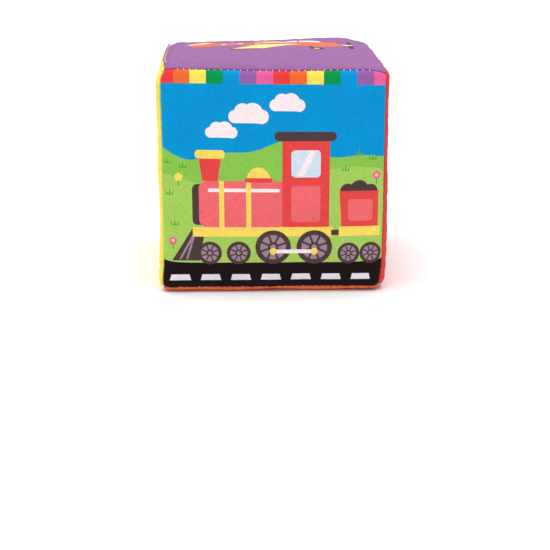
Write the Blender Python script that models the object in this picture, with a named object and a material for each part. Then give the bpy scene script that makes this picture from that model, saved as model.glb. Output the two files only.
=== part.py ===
"""A soft fabric building block: a foam cube in a cover sewn from six panels of printed cloth.

The panels are sewn together inside out, so each has an allowance turned in along its edges, which
presses into a slit in the foam. The cover is turned and filled through its top left edge. That edge is
then hemmed, pinched into a standing ridge and topstitched.

The front faces -Y and the block rests on the XY plane, with the origin under its middle.
"""

import math

import bmesh
import bpy
from mathutils import Matrix, Vector

MM = 0.001

# The cover's outside
BLOCK_SIDE = 102 * MM  # between the planes of opposite faces, which the crown stands out from
EDGE_RADIUS = 4.5 * MM  # the edge, as the foam rounds it under the tight cloth
CROWN = 2.5 * MM  # how far the middle of a face stands out from its plane
BASE_CROWN = 0.8 * MM  # the same under the block, where the block's weight presses it
REST_FLAT = 0.5 * MM  # how much of that crown is pressed quite flat

# The cloth and its seams
CLOTH_THICKNESS = 0.4 * MM
SEAM_GAP = 0.3 * MM  # between the two allowances of a seam
FIT_GAP = 0.3 * MM  # between any other two pieces, or two layers of the hem
FOLD_RADIUS = 1 * MM  # outside of the fold where a panel turns in at a seam
ALLOWANCE_WIDTH = 5 * MM  # the cloth turned in beyond that fold
CORNER_CLIP = 4 * MM  # the run at each end of an edge where the allowances are clipped away

# The closing ridge along the top left edge
RIDGE_HEIGHT = 2.6 * MM  # above its root; it rises from the seam in the run of CORNER_CLIP
RIDGE_FILLET = 0.6 * MM  # where the ridge springs from the panel
HEM_DEPTH = 3 * MM  # how far the hems reach down between the two panels
RIDGE_STITCH_HEIGHT = 1.3 * MM  # the topstitch, up from the ridge's root

# The sewing thread
THREAD_DIAMETER = 0.4 * MM
THREAD_END_GAP = 0.5 * MM  # between an upright seam's thread and the one that it runs up to
TOP_SEAM_END_GAP = 0.8 * MM  # between the top seam's thread and the edge that holds the ridge

# How finely the curved shapes are stepped
BEND_STEPS = 2
FLAT_STEPS = 4
FOLD_STEPS = 4
CORNER_STEPS = 4

FLAT_HALF = BLOCK_SIDE / 2 - EDGE_RADIUS  # from a face's middle to where its edges begin to bend
CLIPPED_HALF = FLAT_HALF - CORNER_CLIP  # from an edge's middle to where its allowances end
CENTRE_HEIGHT = BLOCK_SIDE / 2 + BASE_CROWN - REST_FLAT
HALF_GAP = SEAM_GAP / 2
SEAM_REACH = FOLD_RADIUS + HALF_GAP  # from the seam's plane to where the fold begins
RIDGE_WALL = HALF_GAP + 2 * CLOTH_THICKNESS + FIT_GAP  # from that plane to the ridge's outer face
FOAM_INSET = CLOTH_THICKNESS + FIT_GAP  # from the cover's outside to the foam
ROOT_TWO = math.sqrt(2)

# Each panel's right hand and up, as seen from outside, and its main colour
RIGHT, BACK, UP = Vector((1, 0, 0)), Vector((0, 1, 0)), Vector((0, 0, 1))
PANELS = {
    "front_panel": (RIGHT, UP, (0.003, 0.296, 0.680)),
    "back_panel": (-RIGHT, UP, (0.003, 0.296, 0.680)),
    "left_panel": (-BACK, UP, (0.956, 0.776, 0.112)),
    "right_panel": (BACK, UP, (0.791, 0.048, 0.048)),
    "top_panel": (RIGHT, BACK, (0.418, 0.168, 0.456)),
    "bottom_panel": (RIGHT, -BACK, (0.880, 0.153, 0.034)),
}
THREAD_COLOUR = (0.856, 0.831, 0.848)
FOAM_COLOUR = (0.855, 0.823, 0.708)
CLOTH_ROUGHNESS = 0.85
THREAD_ROUGHNESS = 0.6
FOAM_ROUGHNESS = 1

# The edges of a panel, as directions from its middle, and which of them is hemmed into the ridge
EDGES = ((1, 0), (0, 1), (-1, 0), (0, -1))
RIDGE_EDGES = {"top_panel": (-1, 0), "left_panel": (0, 1)}


def material(name, colour, roughness):
    """A plain, non-metallic material."""
    made = bpy.data.materials.new(name)
    made.use_nodes = True
    shader = made.node_tree.nodes["Principled BSDF"]
    shader.inputs["Base Color"].default_value = (*colour, 1)
    shader.inputs["Roughness"].default_value = roughness
    shader.inputs["Metallic"].default_value = 0
    return made


def add_object(name, data, surface):
    """Puts mesh or curve data in the scene as an object whose origin is the block's own middle."""
    placed = bpy.data.objects.new(name, data)
    placed.location = (0, 0, CENTRE_HEIGHT)
    data.materials.append(surface)
    bpy.context.scene.collection.objects.link(placed)
    return placed


def seam_angle(radius):
    """How far a face bends round its edge before the fold or slit of the seam begins."""
    return math.radians(45) - math.asin(SEAM_REACH / radius)


def stations(radius):
    """Steps across a face in one direction: (place on the flat middle, tangent of the lean past it)."""
    leans = [math.tan(seam_angle(radius) * step / BEND_STEPS) for step in range(1, BEND_STEPS + 1)]
    flat = [CLIPPED_HALF * (2 * step / FLAT_STEPS - 1) for step in range(FLAT_STEPS + 1)]
    low = [(-FLAT_HALF, -lean) for lean in reversed(leans)]
    high = [(FLAT_HALF, lean) for lean in leans]
    return low + [(place, 0) for place in (-FLAT_HALF, *flat, FLAT_HALF)] + high


def reach_of(station, radius):
    """How far from the middle of a face a station lies, measured midway along the face's edge."""
    place, lean = station
    return place + radius * lean / math.hypot(1, lean)


def face_point(across, along, radius, crown):
    """A point of a face in its own frame, X to the right, Y up and Z out of the block's middle.

    The crown is highest in the middle and falls to nothing at the seams.
    """
    lean = Vector((across[1], along[1], 1)).normalized()
    point = Vector((across[0], along[0], FLAT_HALF)) + radius * lean
    border = reach_of((FLAT_HALF, math.tan(seam_angle(radius))), radius)
    shares = [1 - (reach_of(station, radius) / border) ** 2 for station in (across, along)]
    point.z += crown * shares[0] * shares[1]
    return point


def surface_level(gap, corner_share, radius):
    """How far out the rounded edge reaches at this gap from the seam's plane.

    Levels are measured along that plane from the edge's own axis. corner_share is 0 on the straight
    edge and grows to 1 at the corner, where the planes of three seams meet.
    """
    return math.sqrt(radius**2 - 2 * gap**2 * (1 - 1 / (2 + corner_share**2)))


def seam_point(edge, place, corner_share, gap, level):
    """A point beside the seam at one edge of a face, in the face's own frame.

    place lies along the edge, gap is the distance from the seam's plane and level the distance out
    from the edge's axis, as in surface_level().
    """
    spread = 2 + corner_share**2
    outward = (level * math.sqrt(spread) - ROOT_TWO * gap) / spread
    reached = FLAT_HALF + outward
    sideways = place + corner_share * outward
    x, y = (edge[0] * reached, sideways) if edge[0] else (sideways, edge[1] * reached)
    return Vector((x, y, reached + ROOT_TWO * gap))


def add_skirted_face(mesh, turn, radius, crown, profile):
    """Adds one face of the rounded cube, and round it a skirt that runs in at the four seams.

    profile(edge, place, corner_share) gives the skirt's (gap, level) pairs from the face inwards,
    the first of them on the face's own border. Returns each edge's columns of skirt points.
    """
    steps = stations(radius)
    last = len(steps) - 1
    corner_lean = steps[last][1]
    columns = {}
    corners = {}
    for edge in EDGES:
        columns[edge] = []
        for j, (place, lean) in enumerate(steps):
            share = lean / corner_lean
            corner = None if abs(share) < 1 else (edge[0] or share, edge[1] or share)
            if corner in corners:
                columns[edge].append(corners[corner])
                continue
            points = [seam_point(edge, place, share, *row) for row in profile(edge, place, share)]
            column = [mesh.verts.new(turn @ point) for point in points]
            columns[edge].append(column)
            if corner:
                corners[corner] = column

    def grid_vertex(i, j):
        if i in (0, last):
            return columns[1 if i else -1, 0][j][0]
        if j in (0, last):
            return columns[0, 1 if j else -1][i][0]
        return mesh.verts.new(turn @ face_point(steps[i], steps[j], radius, crown))

    grid = [[grid_vertex(i, j) for j in range(last + 1)] for i in range(last + 1)]
    for i in range(last):
        for j in range(last):
            mesh.faces.new([grid[i][j], grid[i + 1][j], grid[i + 1][j + 1], grid[i][j + 1]])
    for edge in EDGES:
        # Seen from outside, an edge's places run against the clock on its right and lower sides
        forward = edge[0] - edge[1] > 0
        for here, there in zip(columns[edge], columns[edge][1:]):
            for k in range(min(len(here), len(there)) - 1):
                corners_of_face = [here[k], here[k + 1], there[k + 1], there[k]]
                mesh.faces.new(corners_of_face if forward else corners_of_face[::-1])
    return columns


def fold_profile(corner_share, straight):
    """The fold where a panel turns in, then its allowance, which is clipped away at the corners."""
    surface = surface_level(SEAM_REACH, corner_share, EDGE_RADIUS)
    rows = []
    for step in range(FOLD_STEPS + 1):
        turn = math.radians(90) * step / FOLD_STEPS
        drop = FOLD_RADIUS * (1 - math.cos(turn))
        rows.append((SEAM_REACH - FOLD_RADIUS * math.sin(turn), surface - drop))
    if straight:
        rows.append((HALF_GAP, surface - FOLD_RADIUS - ALLOWANCE_WIDTH))
    return rows


def ridge_root():
    """The level that the closing ridge springs from."""
    return surface_level(RIDGE_WALL + RIDGE_FILLET, 0, EDGE_RADIUS)


def ridge_profile():
    """The ridge's outer wall, the turn over its top and the hem inside it."""
    turn_radius = (RIDGE_WALL - HALF_GAP) / 2
    crest = ridge_root() + RIDGE_HEIGHT
    return [
        (RIDGE_WALL + RIDGE_FILLET, ridge_root()),
        (RIDGE_WALL, ridge_root() + RIDGE_FILLET),
        (RIDGE_WALL, crest - turn_radius),
        (RIDGE_WALL - turn_radius, crest),
        (HALF_GAP, crest - turn_radius),
        (HALF_GAP, ridge_root() - HEM_DEPTH),
    ]


def face_turn(name):
    """The turn from a panel's own frame to the block's."""
    right, up, _ = PANELS[name]
    return Matrix((right, up, right.cross(up))).transposed()


def face_crown(name):
    return BASE_CROWN if name == "bottom_panel" else CROWN


def press_flat(mesh, floor):
    """Lifts what would sink below the floor, a height in the frame of the block's middle."""
    for point in mesh.verts:
        point.co.z = max(point.co.z, floor)


def finished_mesh(name, mesh):
    """Mesh data from a bmesh, shaded smooth."""
    data = bpy.data.meshes.new(name)
    mesh.to_mesh(data)
    mesh.free()
    data.shade_smooth()
    return data


def add_panel(name):
    """One panel of the cover, drawn as its outside and thickened inwards."""

    def profile(edge, place, corner_share):
        straight = abs(place) < FLAT_HALF
        if straight and RIDGE_EDGES.get(name) == edge:
            return ridge_profile()
        return fold_profile(corner_share, straight)

    sheet = bmesh.new()
    add_skirted_face(sheet, face_turn(name), EDGE_RADIUS, face_crown(name), profile)
    press_flat(sheet, -CENTRE_HEIGHT)
    cloth = material(name + "_cloth", PANELS[name][2], CLOTH_ROUGHNESS)
    panel = add_object(name, finished_mesh(name, sheet), cloth)
    thickness = panel.modifiers.new("cloth_thickness", "SOLIDIFY")
    thickness.thickness = CLOTH_THICKNESS
    thickness.offset = -1
    thickness.use_even_offset = True


def add_foam_core():
    """The foam cube, with its crowned faces and a slit along each edge for the seam's allowances."""
    radius = EDGE_RADIUS - FOAM_INSET
    slit_floor = surface_level(SEAM_REACH, 0, EDGE_RADIUS) - FOLD_RADIUS - ALLOWANCE_WIDTH - FIT_GAP

    def profile(edge, place, corner_share):
        # No allowance reaches the corner, where the slits of three seams run into each other
        floor = slit_floor if abs(place) < FLAT_HALF else max(slit_floor, SEAM_REACH)
        return [(SEAM_REACH, surface_level(SEAM_REACH, corner_share, radius)), (SEAM_REACH, floor)]

    foam = bmesh.new()
    slit_sides = {}
    for name in PANELS:
        turn = face_turn(name)
        columns = add_skirted_face(foam, turn, radius, face_crown(name), profile)
        for edge in EDGES:
            own_side, other_side = turn @ Vector((0, 0, 1)), turn @ Vector((*edge, 0))
            slit = frozenset(tuple(round(part) for part in side) for side in (own_side, other_side))
            floor_points = [column[-1] for column in columns[edge]]
            floor_edges = [foam.edges.get(pair) for pair in zip(floor_points, floor_points[1:])]
            slit_sides.setdefault(slit, []).extend(floor_edges)
    for floor_edges in slit_sides.values():
        bmesh.ops.bridge_loops(foam, edges=floor_edges)
    bmesh.ops.holes_fill(foam, edges=foam.edges, sides=3)
    bmesh.ops.recalc_face_normals(foam, faces=foam.faces)
    press_flat(foam, FOAM_INSET - CENTRE_HEIGHT)
    cut_foam = material("cut_foam", FOAM_COLOUR, FOAM_ROUGHNESS)
    core = add_object("foam_core", finished_mesh("foam_core", foam), cut_foam)
    core.data.set_sharp_from_angle(angle=math.radians(45))


def thread_level():
    """How far from an edge's axis its thread lies, nestled between the two folds of the seam."""
    fold_axis = surface_level(SEAM_REACH, 0, EDGE_RADIUS) - FOLD_RADIUS
    apart = FOLD_RADIUS + FIT_GAP + THREAD_DIAMETER / 2
    return fold_axis + math.sqrt(apart**2 - SEAM_REACH**2)


def end_arc(corner, axis, start, end):
    """Points of a seam's thread round one end of an edge, from one angle to another.

    corner holds the signs of a corner of the block and axis the edge's direction. The edge is
    straight up to angle 0, and the corner itself is at CORNER_ANGLE.
    """
    points = []
    for step in range(CORNER_STEPS + 1):
        angle = start + (end - start) * step / CORNER_STEPS
        lean = [math.cos(angle) / ROOT_TWO] * 3
        lean[axis] = math.sin(angle)
        reaches = [FLAT_HALF + thread_level() * part for part in lean]
        points.append(Vector([sign * reach for sign, reach in zip(corner, reaches)]))
    return points


def edge_run(start, end):
    """Points of a thread along a whole edge, up to but without its far corner."""
    axis = next(i for i in range(3) if start[i] != end[i])
    return end_arc(start, axis, CORNER_ANGLE, 0) + end_arc(end, axis, 0, CORNER_ANGLE)[:-1]


def add_thread(name, points, closed=False):
    """One thread along its points, round in section, and capped unless it is closed."""
    path = bpy.data.curves.new(name, "CURVE")
    path.dimensions = "3D"
    path.bevel_depth = THREAD_DIAMETER / 2
    path.bevel_resolution = 1
    path.use_fill_caps = not closed
    line = path.splines.new("POLY")
    line.points.add(len(points) - 1)
    for slot, point in zip(line.points, points):
        slot.co = (*point, 1)
    line.use_cyclic_u = closed
    add_object(name, path, THREAD_MATERIAL)


def add_seam_threads():
    """The threads of the sewn seams: four upright, one round the bottom, one on three top edges."""
    upright_end = CORNER_ANGLE - (THREAD_DIAMETER + THREAD_END_GAP) / thread_level()
    for depth, y in (("front", -1), ("back", 1)):
        for side, x in (("left", -1), ("right", 1)):
            low, high = end_arc((x, y, -1), 2, upright_end, 0), end_arc((x, y, 1), 2, 0, upright_end)
            add_thread(f"{depth}_{side}_seam_thread", low + high)
    ring = [(-1, -1), (1, -1), (1, 1), (-1, 1)]
    low_corners = [(x, y, -1) for x, y in ring]
    round_bottom = sum((edge_run(*pair) for pair in zip(low_corners, low_corners[1:] + low_corners[:1])), [])
    add_thread("bottom_seam_thread", round_bottom, closed=True)
    high_corners = [(x, y, 1) for x, y in ring]
    knot = TOP_SEAM_END_GAP / thread_level()
    round_top = end_arc(high_corners[0], 1, knot, CORNER_ANGLE)[:-1]
    round_top += sum((edge_run(*pair) for pair in zip(high_corners, high_corners[1:])), [])
    round_top += end_arc(high_corners[-1], 1, CORNER_ANGLE, knot)
    add_thread("top_seam_thread", round_top)


def add_closing_threads():
    """The ridge's topstitch: the needle's thread on the top's side, the bobbin's on the left's."""
    gap = RIDGE_WALL + FIT_GAP + THREAD_DIAMETER / 2
    level = ridge_root() + RIDGE_STITCH_HEIGHT
    for name, panel in (("closing_needle_thread", "top_panel"), ("closing_bobbin_thread", "left_panel")):
        places = (-CLIPPED_HALF, CLIPPED_HALF)
        ends = [seam_point(RIDGE_EDGES[panel], place, 0, gap, level) for place in places]
        add_thread(name, [face_turn(panel) @ end for end in ends])


for old in list(bpy.data.objects):
    bpy.data.objects.remove(old)

CORNER_ANGLE = math.atan(1 / ROOT_TWO)
THREAD_MATERIAL = material("polyester_thread", THREAD_COLOUR, THREAD_ROUGHNESS)

for panel_name in PANELS:
    add_panel(panel_name)
add_foam_core()
add_seam_threads()
add_closing_threads()
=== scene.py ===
"""The looks of a soft fabric building block: six printed cloth panels sewn over a foam cube.

The panels are sewn together inside out and turned, so each has its allowances folded in at the seams.
The top left edge is the one that the block is filled through: it is hemmed, pinched and topstitched.
The front faces -Y and the block rests on the XY plane.
"""

import math

import bmesh
import bpy
import numpy as np
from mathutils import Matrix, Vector, geometry


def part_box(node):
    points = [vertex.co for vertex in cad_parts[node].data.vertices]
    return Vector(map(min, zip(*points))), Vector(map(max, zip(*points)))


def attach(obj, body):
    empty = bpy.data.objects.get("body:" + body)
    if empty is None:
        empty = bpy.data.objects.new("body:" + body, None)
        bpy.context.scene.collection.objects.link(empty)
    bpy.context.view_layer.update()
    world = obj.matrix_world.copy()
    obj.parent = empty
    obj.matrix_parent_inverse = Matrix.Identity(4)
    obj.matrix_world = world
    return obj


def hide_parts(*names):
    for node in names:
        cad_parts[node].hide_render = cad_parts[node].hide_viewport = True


bl_info = {
    "name": "Soft Fabric Block",
    "version": (1, 0, 0),
    "blender": (4, 5, 0),
    "location": "View3D > Sidebar > Fabric Block",
    "description": "Sews a printed cloth cover round a foam cube, with its seams, topstitch and a stage",
    "category": "Add Mesh",
}

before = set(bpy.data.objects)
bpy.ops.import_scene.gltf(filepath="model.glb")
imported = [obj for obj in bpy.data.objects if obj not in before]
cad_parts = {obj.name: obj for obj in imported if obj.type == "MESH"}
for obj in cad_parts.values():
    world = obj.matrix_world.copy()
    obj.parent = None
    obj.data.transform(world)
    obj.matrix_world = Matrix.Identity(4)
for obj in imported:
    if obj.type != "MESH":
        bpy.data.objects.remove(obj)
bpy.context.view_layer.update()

MM = 0.001
ROOT_TWO = math.sqrt(2)
QUARTER_TURN = math.radians(90)
TURN = 2 * math.pi

# The cover's middle, read from the frame's front panel, which is as far above it as below
FRONT_LOW, FRONT_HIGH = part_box("front_panel")
CROWN = 2.5 * MM
FRAME_SIDE = -2 * (FRONT_LOW[1] + CROWN)
CENTRE_HEIGHT = (FRONT_LOW[2] + FRONT_HIGH[2]) / 2

# Each panel's right hand and up, as seen from outside
PANELS = {
    "front_panel": ((1, 0, 0), (0, 0, 1)),
    "back_panel": ((-1, 0, 0), (0, 0, 1)),
    "left_panel": ((0, -1, 0), (0, 0, 1)),
    "right_panel": ((0, 1, 0), (0, 0, 1)),
    "top_panel": ((1, 0, 0), (0, 1, 0)),
    "bottom_panel": ((1, 0, 0), (0, -1, 0)),
}
EDGES = ((1, 0), (0, 1), (-1, 0), (0, -1))
RIDGE_EDGES = {"top_panel": (-1, 0), "left_panel": (0, 1)}

# How finely the meshes are made
GRID_STEPS = 140  # across a panel: about four to a stitch
FOLD_STEPS = 10
ALLOWANCE_STEPS = 3
FOAM_STEPS = 64
SWELL_STEPS = 40
THREAD_SIDES = 8
THREAD_STEPS = 3  # between two points of a thread's route

# How far each panel's crown stands out, as the cloth simulation finds it: a square grid that peaks at 1
SWELL = {}


def linear(hex_colour):
    """An sRGB hex colour as linear red, green and blue."""
    parts = [int(hex_colour[i:i + 2], 16) / 255 for i in (1, 3, 5)]
    return tuple(part / 12.92 if part <= 0.04045 else ((part + 0.055) / 1.055) ** 2.4 for part in parts)


def length(name, description, default):
    """A size that the user can change."""
    return bpy.props.FloatProperty(
        name=name, description=description, default=default, min=0, unit="LENGTH", precision=5)


def colour(name, description, hex_colour):
    """A colour that the user can change."""
    return bpy.props.FloatVectorProperty(
        name=name, description=description, default=linear(hex_colour), size=3, min=0, max=1,
        subtype="COLOR")


class BlockSizes(bpy.types.PropertyGroup):
    """The block's real sizes."""

    block_side: length("Side", "Between the planes of opposite faces", FRAME_SIDE)
    edge_radius: length("Edge radius", "Roundness of the edges under the tight cloth", 4.5 * MM)
    crown: length("Crown", "How far the middle of a face stands out", CROWN)
    base_crown: length("Base crown", "The same under the block, before it is pressed flat", 0.8 * MM)
    cloth_thickness: length("Cloth", "Thickness of the cloth", 0.35 * MM)
    seam_gap: length("Seam gap", "Between the two allowances of a seam", 0.12 * MM)
    seam_reach: length("Seam reach", "From the seam's plane to where the cloth folds in", 1.15 * MM)
    allowance: length("Allowance", "Width of the cloth turned in", 5 * MM)
    corner_clip: length("Corner clip", "Run at each corner where the allowance is cut away", 4 * MM)
    ridge_height: length("Ridge height", "Height of the pinched edge above its root", 1.3 * MM)
    ridge_half: length("Ridge half", "From the ridge's middle to its outer face", 0.95 * MM)
    hem_depth: length("Hem depth", "How far the hems reach down inside the ridge", 3 * MM)
    stitch_pitch: length("Stitch", "From one stitch of a seam to the next", 2.8 * MM)
    ridge_pitch: length("Topstitch", "From one stitch of the ridge to the next", 3 * MM)
    thread_diameter: length("Thread", "Thickness of the sewing thread", 0.45 * MM)


class PrintColours(bpy.types.PropertyGroup):
    """The colours of the cloth, the print, the thread and the foam."""

    sky: colour("Sky", "Sky of the pictures", "#0096D7")
    meadow: colour("Meadow", "Near hill of the pictures", "#A7D05F")
    far_hill: colour("Far hill", "Hills on the horizon", "#8CC850")
    grass: colour("Grass", "Tufts on the hills", "#5AAA32")
    red: colour("Red", "Main colour of the train, the boat and the rocket", "#EA4846")
    light_red: colour("Light red", "Panels and highlights on red", "#F26C72")
    glass: colour("Glass", "Windows", "#D6E3F3")
    white: colour("White", "Smoke, clouds and sails", "#FDEEF2")
    band: colour("Band", "Dark track and quay along the bottom", "#1C0E10")
    sleeper: colour("Sleeper", "Pale blocks on the band", "#E9E6F1")
    brown: colour("Brown", "Wheels, roof and basket", "#503C3E")
    mauve: colour("Mauve", "Wheel discs and rods", "#A08796")
    gold: colour("Gold", "Footplate, dome and rims", "#FEDE64")
    amber: colour("Amber", "Aeroplane and kite", "#EE744A")
    straw: colour("Straw", "Wings and tails", "#FDE296")
    strip_red: colour("Strip red", "Square of the strip", "#EE3E42")
    strip_orange: colour("Strip orange", "Square of the strip", "#F16D34")
    strip_yellow: colour("Strip yellow", "Square of the strip", "#FCE45E")
    strip_green: colour("Strip green", "Square of the strip", "#009650")
    strip_purple: colour("Strip purple", "Square of the strip", "#9860AA")
    strip_pink: colour("Strip pink", "Square of the strip", "#EC62A0")
    left_cloth: colour("Left cloth", "Ground colour of the left panel", "#FAE764")
    right_cloth: colour("Right cloth", "Ground colour of the right panel", "#E14545")
    top_cloth: colour("Top cloth", "Ground colour of the top panel", "#98679C")
    bottom_cloth: colour("Bottom cloth", "Ground colour of the bottom panel", "#FF7A46")
    thread: colour("Thread", "Polyester sewing thread", "#EFEBED")
    foam: colour("Foam", "Polyurethane foam", "#EDE9DA")


def axes_of(name):
    """A panel's right, up and outward directions as the rows of a matrix."""
    right, up = (np.array(direction, float) for direction in PANELS[name])
    return np.stack([right, up, np.cross(right, up)])


def normal_of(name):
    """A panel's outward direction."""
    return axes_of(name)[2]


def edge_normal(name, edge):
    """The outward direction of the panel beyond one edge of a panel."""
    right, up, _ = axes_of(name)
    return edge[0] * right + edge[1] * up


def across_axis(edge):
    """Which of the flat coordinates runs across an edge of a panel."""
    return 0 if edge[0] else 1


def edge_seed(normal_a, normal_b):
    """A whole number that both panels beside an edge of the block agree on."""
    return int(np.dot(normal_a + normal_b + 1, (1, 3, 9)))


# The wavelengths that add up to a ripple, in shares of its own, and the height that they add up to
RIPPLE_SHARES = (0.62, 0.8, 1, 1.27, 1.6)
RIPPLE_HEIGHT = 2.2
UNEVEN_WAVES = 14


def ripple(along, seed, wavelength):
    """Smooth irregular wave of about unit height along an edge."""
    draws = np.random.default_rng(seed)
    total = np.zeros_like(along)
    for share in RIPPLE_SHARES:
        total += np.sin(TURN * along / (wavelength * share) + draws.uniform(0, TURN))
    return total / RIPPLE_HEIGHT


def unevenness(flat, seed, wavelength):
    """Smooth irregular surface of about unit height over flat cloth coordinates."""
    draws = np.random.default_rng(seed)
    total = np.zeros(len(flat))
    for _ in range(UNEVEN_WAVES):
        heading = draws.uniform(0, math.pi)
        size = wavelength * draws.uniform(0.7, 1.5)
        path = flat @ np.array([math.cos(heading), math.sin(heading)])
        total += np.sin(TURN * path / size + draws.uniform(0, TURN))
    return total / math.sqrt(UNEVEN_WAVES)


def smooth_step(value):
    """A smooth rise from 0, at 0 and below, to 1, at 1 and above."""
    value = np.clip(value, 0, 1)
    return value * value * (3 - 2 * value)


# How the sewing and handling shape the cloth
STITCH_DIMPLE = 0.1 * MM
DIMPLE_REACH = 1 * MM
DIMPLE_VARIES = 0.35  # of its depth
DIMPLE_LENGTH = 17 * MM
PUCKER_DEPTH = 0.11 * MM
RIDGE_PUCKER = 1.8  # times as deep beside the ridge
PUCKER_REACH = 5 * MM
PUCKER_LENGTH = 7 * MM
PUCKER_SEEDS = 40  # apart, so that the two panels of a seam pucker differently
FACE_UNEVEN = 0.12 * MM
FACE_UNEVEN_LENGTH = 30 * MM
SEAM_HOLD = 12  # the higher, the closer to a seam a face keeps its crown
RIDGE_WANDER = 0.15 * MM
RIDGE_WANDER_SEED = 71
RIDGE_WANDER_LENGTH = 14 * MM
RIDGE_SLOUCH = 0.45 * MM  # the ridge leans onto the top
RIDGE_RISE = 0.15 * MM
RIDGE_RISE_SEED = 72
RIDGE_LEAN_SPAN = (-0.5, 1.3)  # in shares of the ridge's height, between which its lean grows
RIDGE_CREASE = 0.6 * MM
RIDGE_CREASE_PLACE = 1.1 * MM  # from the border

# How the foam fits into the cover
FOAM_INSET = 0.9 * MM
FOAM_EASE = 0.6 * MM  # from its slits to where it follows the cloth's valleys
SLIT_ROOM = 0.3 * MM  # below the allowances


class Form:
    """The shape of the cover, or of the foam a little way inside it.

    A panel's flat cloth coordinates run right and up from its middle. A solid point has X to the
    panel's right, Y up and Z out of the block's middle. Gaps are measured from a seam's plane, and
    levels along it from the axis that the block's edge is rounded about.
    """

    def __init__(self, sizes, inset=0.0):
        self.sizes = sizes
        self.inset = inset
        self.radius = sizes.edge_radius - inset
        self.flat_half = sizes.block_side / 2 - sizes.edge_radius
        self.seam_angle = math.radians(45) - math.asin(sizes.seam_reach / self.radius)
        self.border = self.flat_half + self.radius * self.seam_angle
        self.half_gap = sizes.seam_gap / 2
        seam_level = math.sqrt(self.radius**2 - sizes.seam_reach**2)
        slope = math.asin(sizes.seam_reach / self.radius)
        self.fold_radius = (sizes.seam_reach - self.half_gap) / (1 + math.sin(slope))
        self.fold_gap = sizes.seam_reach - self.fold_radius * math.sin(slope)
        self.fold_level = seam_level - self.fold_radius * math.cos(slope)
        self.fold_run = self.fold_radius * (QUARTER_TURN + slope)
        # The ridge: a fillet up from the face, a wall, a turn over the top and the hem inside
        self.fillet = (sizes.seam_reach - sizes.ridge_half) / (1 - math.sin(slope))
        self.fillet_run = self.fillet * (QUARTER_TURN - slope)
        self.ridge_turn = (sizes.ridge_half - self.half_gap) / 2
        self.ridge_root = seam_level
        self.ridge_crest = seam_level + sizes.ridge_height
        self.wall_start = seam_level + self.fillet * math.cos(slope)
        self.wall_run = self.ridge_crest - self.ridge_turn - self.wall_start
        self.ridge_run = self.fillet_run + self.wall_run + math.pi * self.ridge_turn
        self.slope = slope

    def clipped_half(self):
        """From an edge's middle to where its allowances end."""
        return self.flat_half - self.sizes.corner_clip

    def near_run(self, name, edge):
        """The cloth from a panel's border to where its allowance hangs straight."""
        return self.ridge_run if RIDGE_EDGES.get(name) == edge else self.fold_run

    def far_run(self, name, edge):
        """The straight allowance, or hem, beyond that."""
        if RIDGE_EDGES.get(name) == edge:
            return self.ridge_crest - self.ridge_turn - self.ridge_root + self.sizes.hem_depth
        return self.sizes.allowance

    def lean(self, flat):
        """Splits a flat coordinate into its place on the flat middle and the angle bent past it."""
        place = np.clip(flat, -self.flat_half, self.flat_half)
        return place, (flat - place) / self.radius

    def reach_share(self, flat):
        """How far out a flat coordinate lies, from -1 to 1 at the borders."""
        place, angle = self.lean(flat)
        border_reach = self.flat_half + self.radius * math.sin(self.seam_angle)
        return np.clip((place + self.radius * np.sin(angle)) / border_reach, -1, 1)

    def swell(self, name, flat):
        """How far the crown stands out at flat coordinates within a panel's borders."""
        crown = self.sizes.base_crown if name == "bottom_panel" else self.sizes.crown
        across, along = (self.reach_share(flat[:, axis]) for axis in (0, 1))
        if name not in SWELL:
            return crown * (1 - across**2) * (1 - along**2)
        field = crown * sample_field(SWELL[name], flat / self.border)
        # The cloth is held at its seams, and the field is smoothed past them
        return field * (1 - across**SEAM_HOLD) * (1 - along**SEAM_HOLD)

    def face_points(self, name, flat):
        """Solid points of the face within its borders."""
        across, across_angle = self.lean(flat[:, 0])
        along, along_angle = self.lean(flat[:, 1])
        out = np.stack([np.tan(across_angle), np.tan(along_angle), np.ones(len(flat))], 1)
        out /= np.linalg.norm(out, axis=1, keepdims=True)
        points = np.stack([across, along, np.full(len(flat), self.flat_half)], 1) + self.radius * out
        points[:, 2] += self.swell(name, flat)
        return points

    def seam_start(self, along):
        """Where the face ends beside a seam: place, corner share, gap, level and slope."""
        place, angle = self.lean(along)
        lean = np.tan(angle)
        edge_lean = math.tan(self.seam_angle)
        norm = np.sqrt(edge_lean**2 + lean**2 + 1)
        share = lean / edge_lean
        spread = 2 + share**2
        gap = self.radius * (1 - edge_lean) / (ROOT_TWO * norm)
        level = (self.radius * edge_lean / norm * spread + ROOT_TWO * gap) / np.sqrt(spread)
        slope = np.arctan(2 * gap * (1 - 1 / spread) / level)
        return place, share, gap, level, slope

    def seam_solid(self, edge, place, share, gap, level):
        """Solid points beside the seam at one edge of a face."""
        spread = 2 + share**2
        outward = (level * np.sqrt(spread) - ROOT_TWO * gap) / spread
        reached = self.flat_half + outward
        sideways = place + share * outward
        pair = (edge[0] * reached, sideways) if edge[0] else (sideways, edge[1] * reached)
        return np.stack([*pair, reached + ROOT_TWO * gap], 1)

    def fold_path(self, start, past):
        """Gap and level at real lengths past the border: round the fold, then straight down."""
        _, _, gap, level, slope = start
        radius = (gap - self.half_gap) / (1 + np.sin(slope))
        turn = np.minimum(past / self.fold_run, 1) * (QUARTER_TURN + slope) - slope
        drop = np.maximum(past - self.fold_run, 0)
        middle_gap = gap - radius * np.sin(slope)
        middle_level = level - radius * np.cos(slope)
        return middle_gap - radius * np.sin(turn), middle_level + radius * np.cos(turn) - drop

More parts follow.
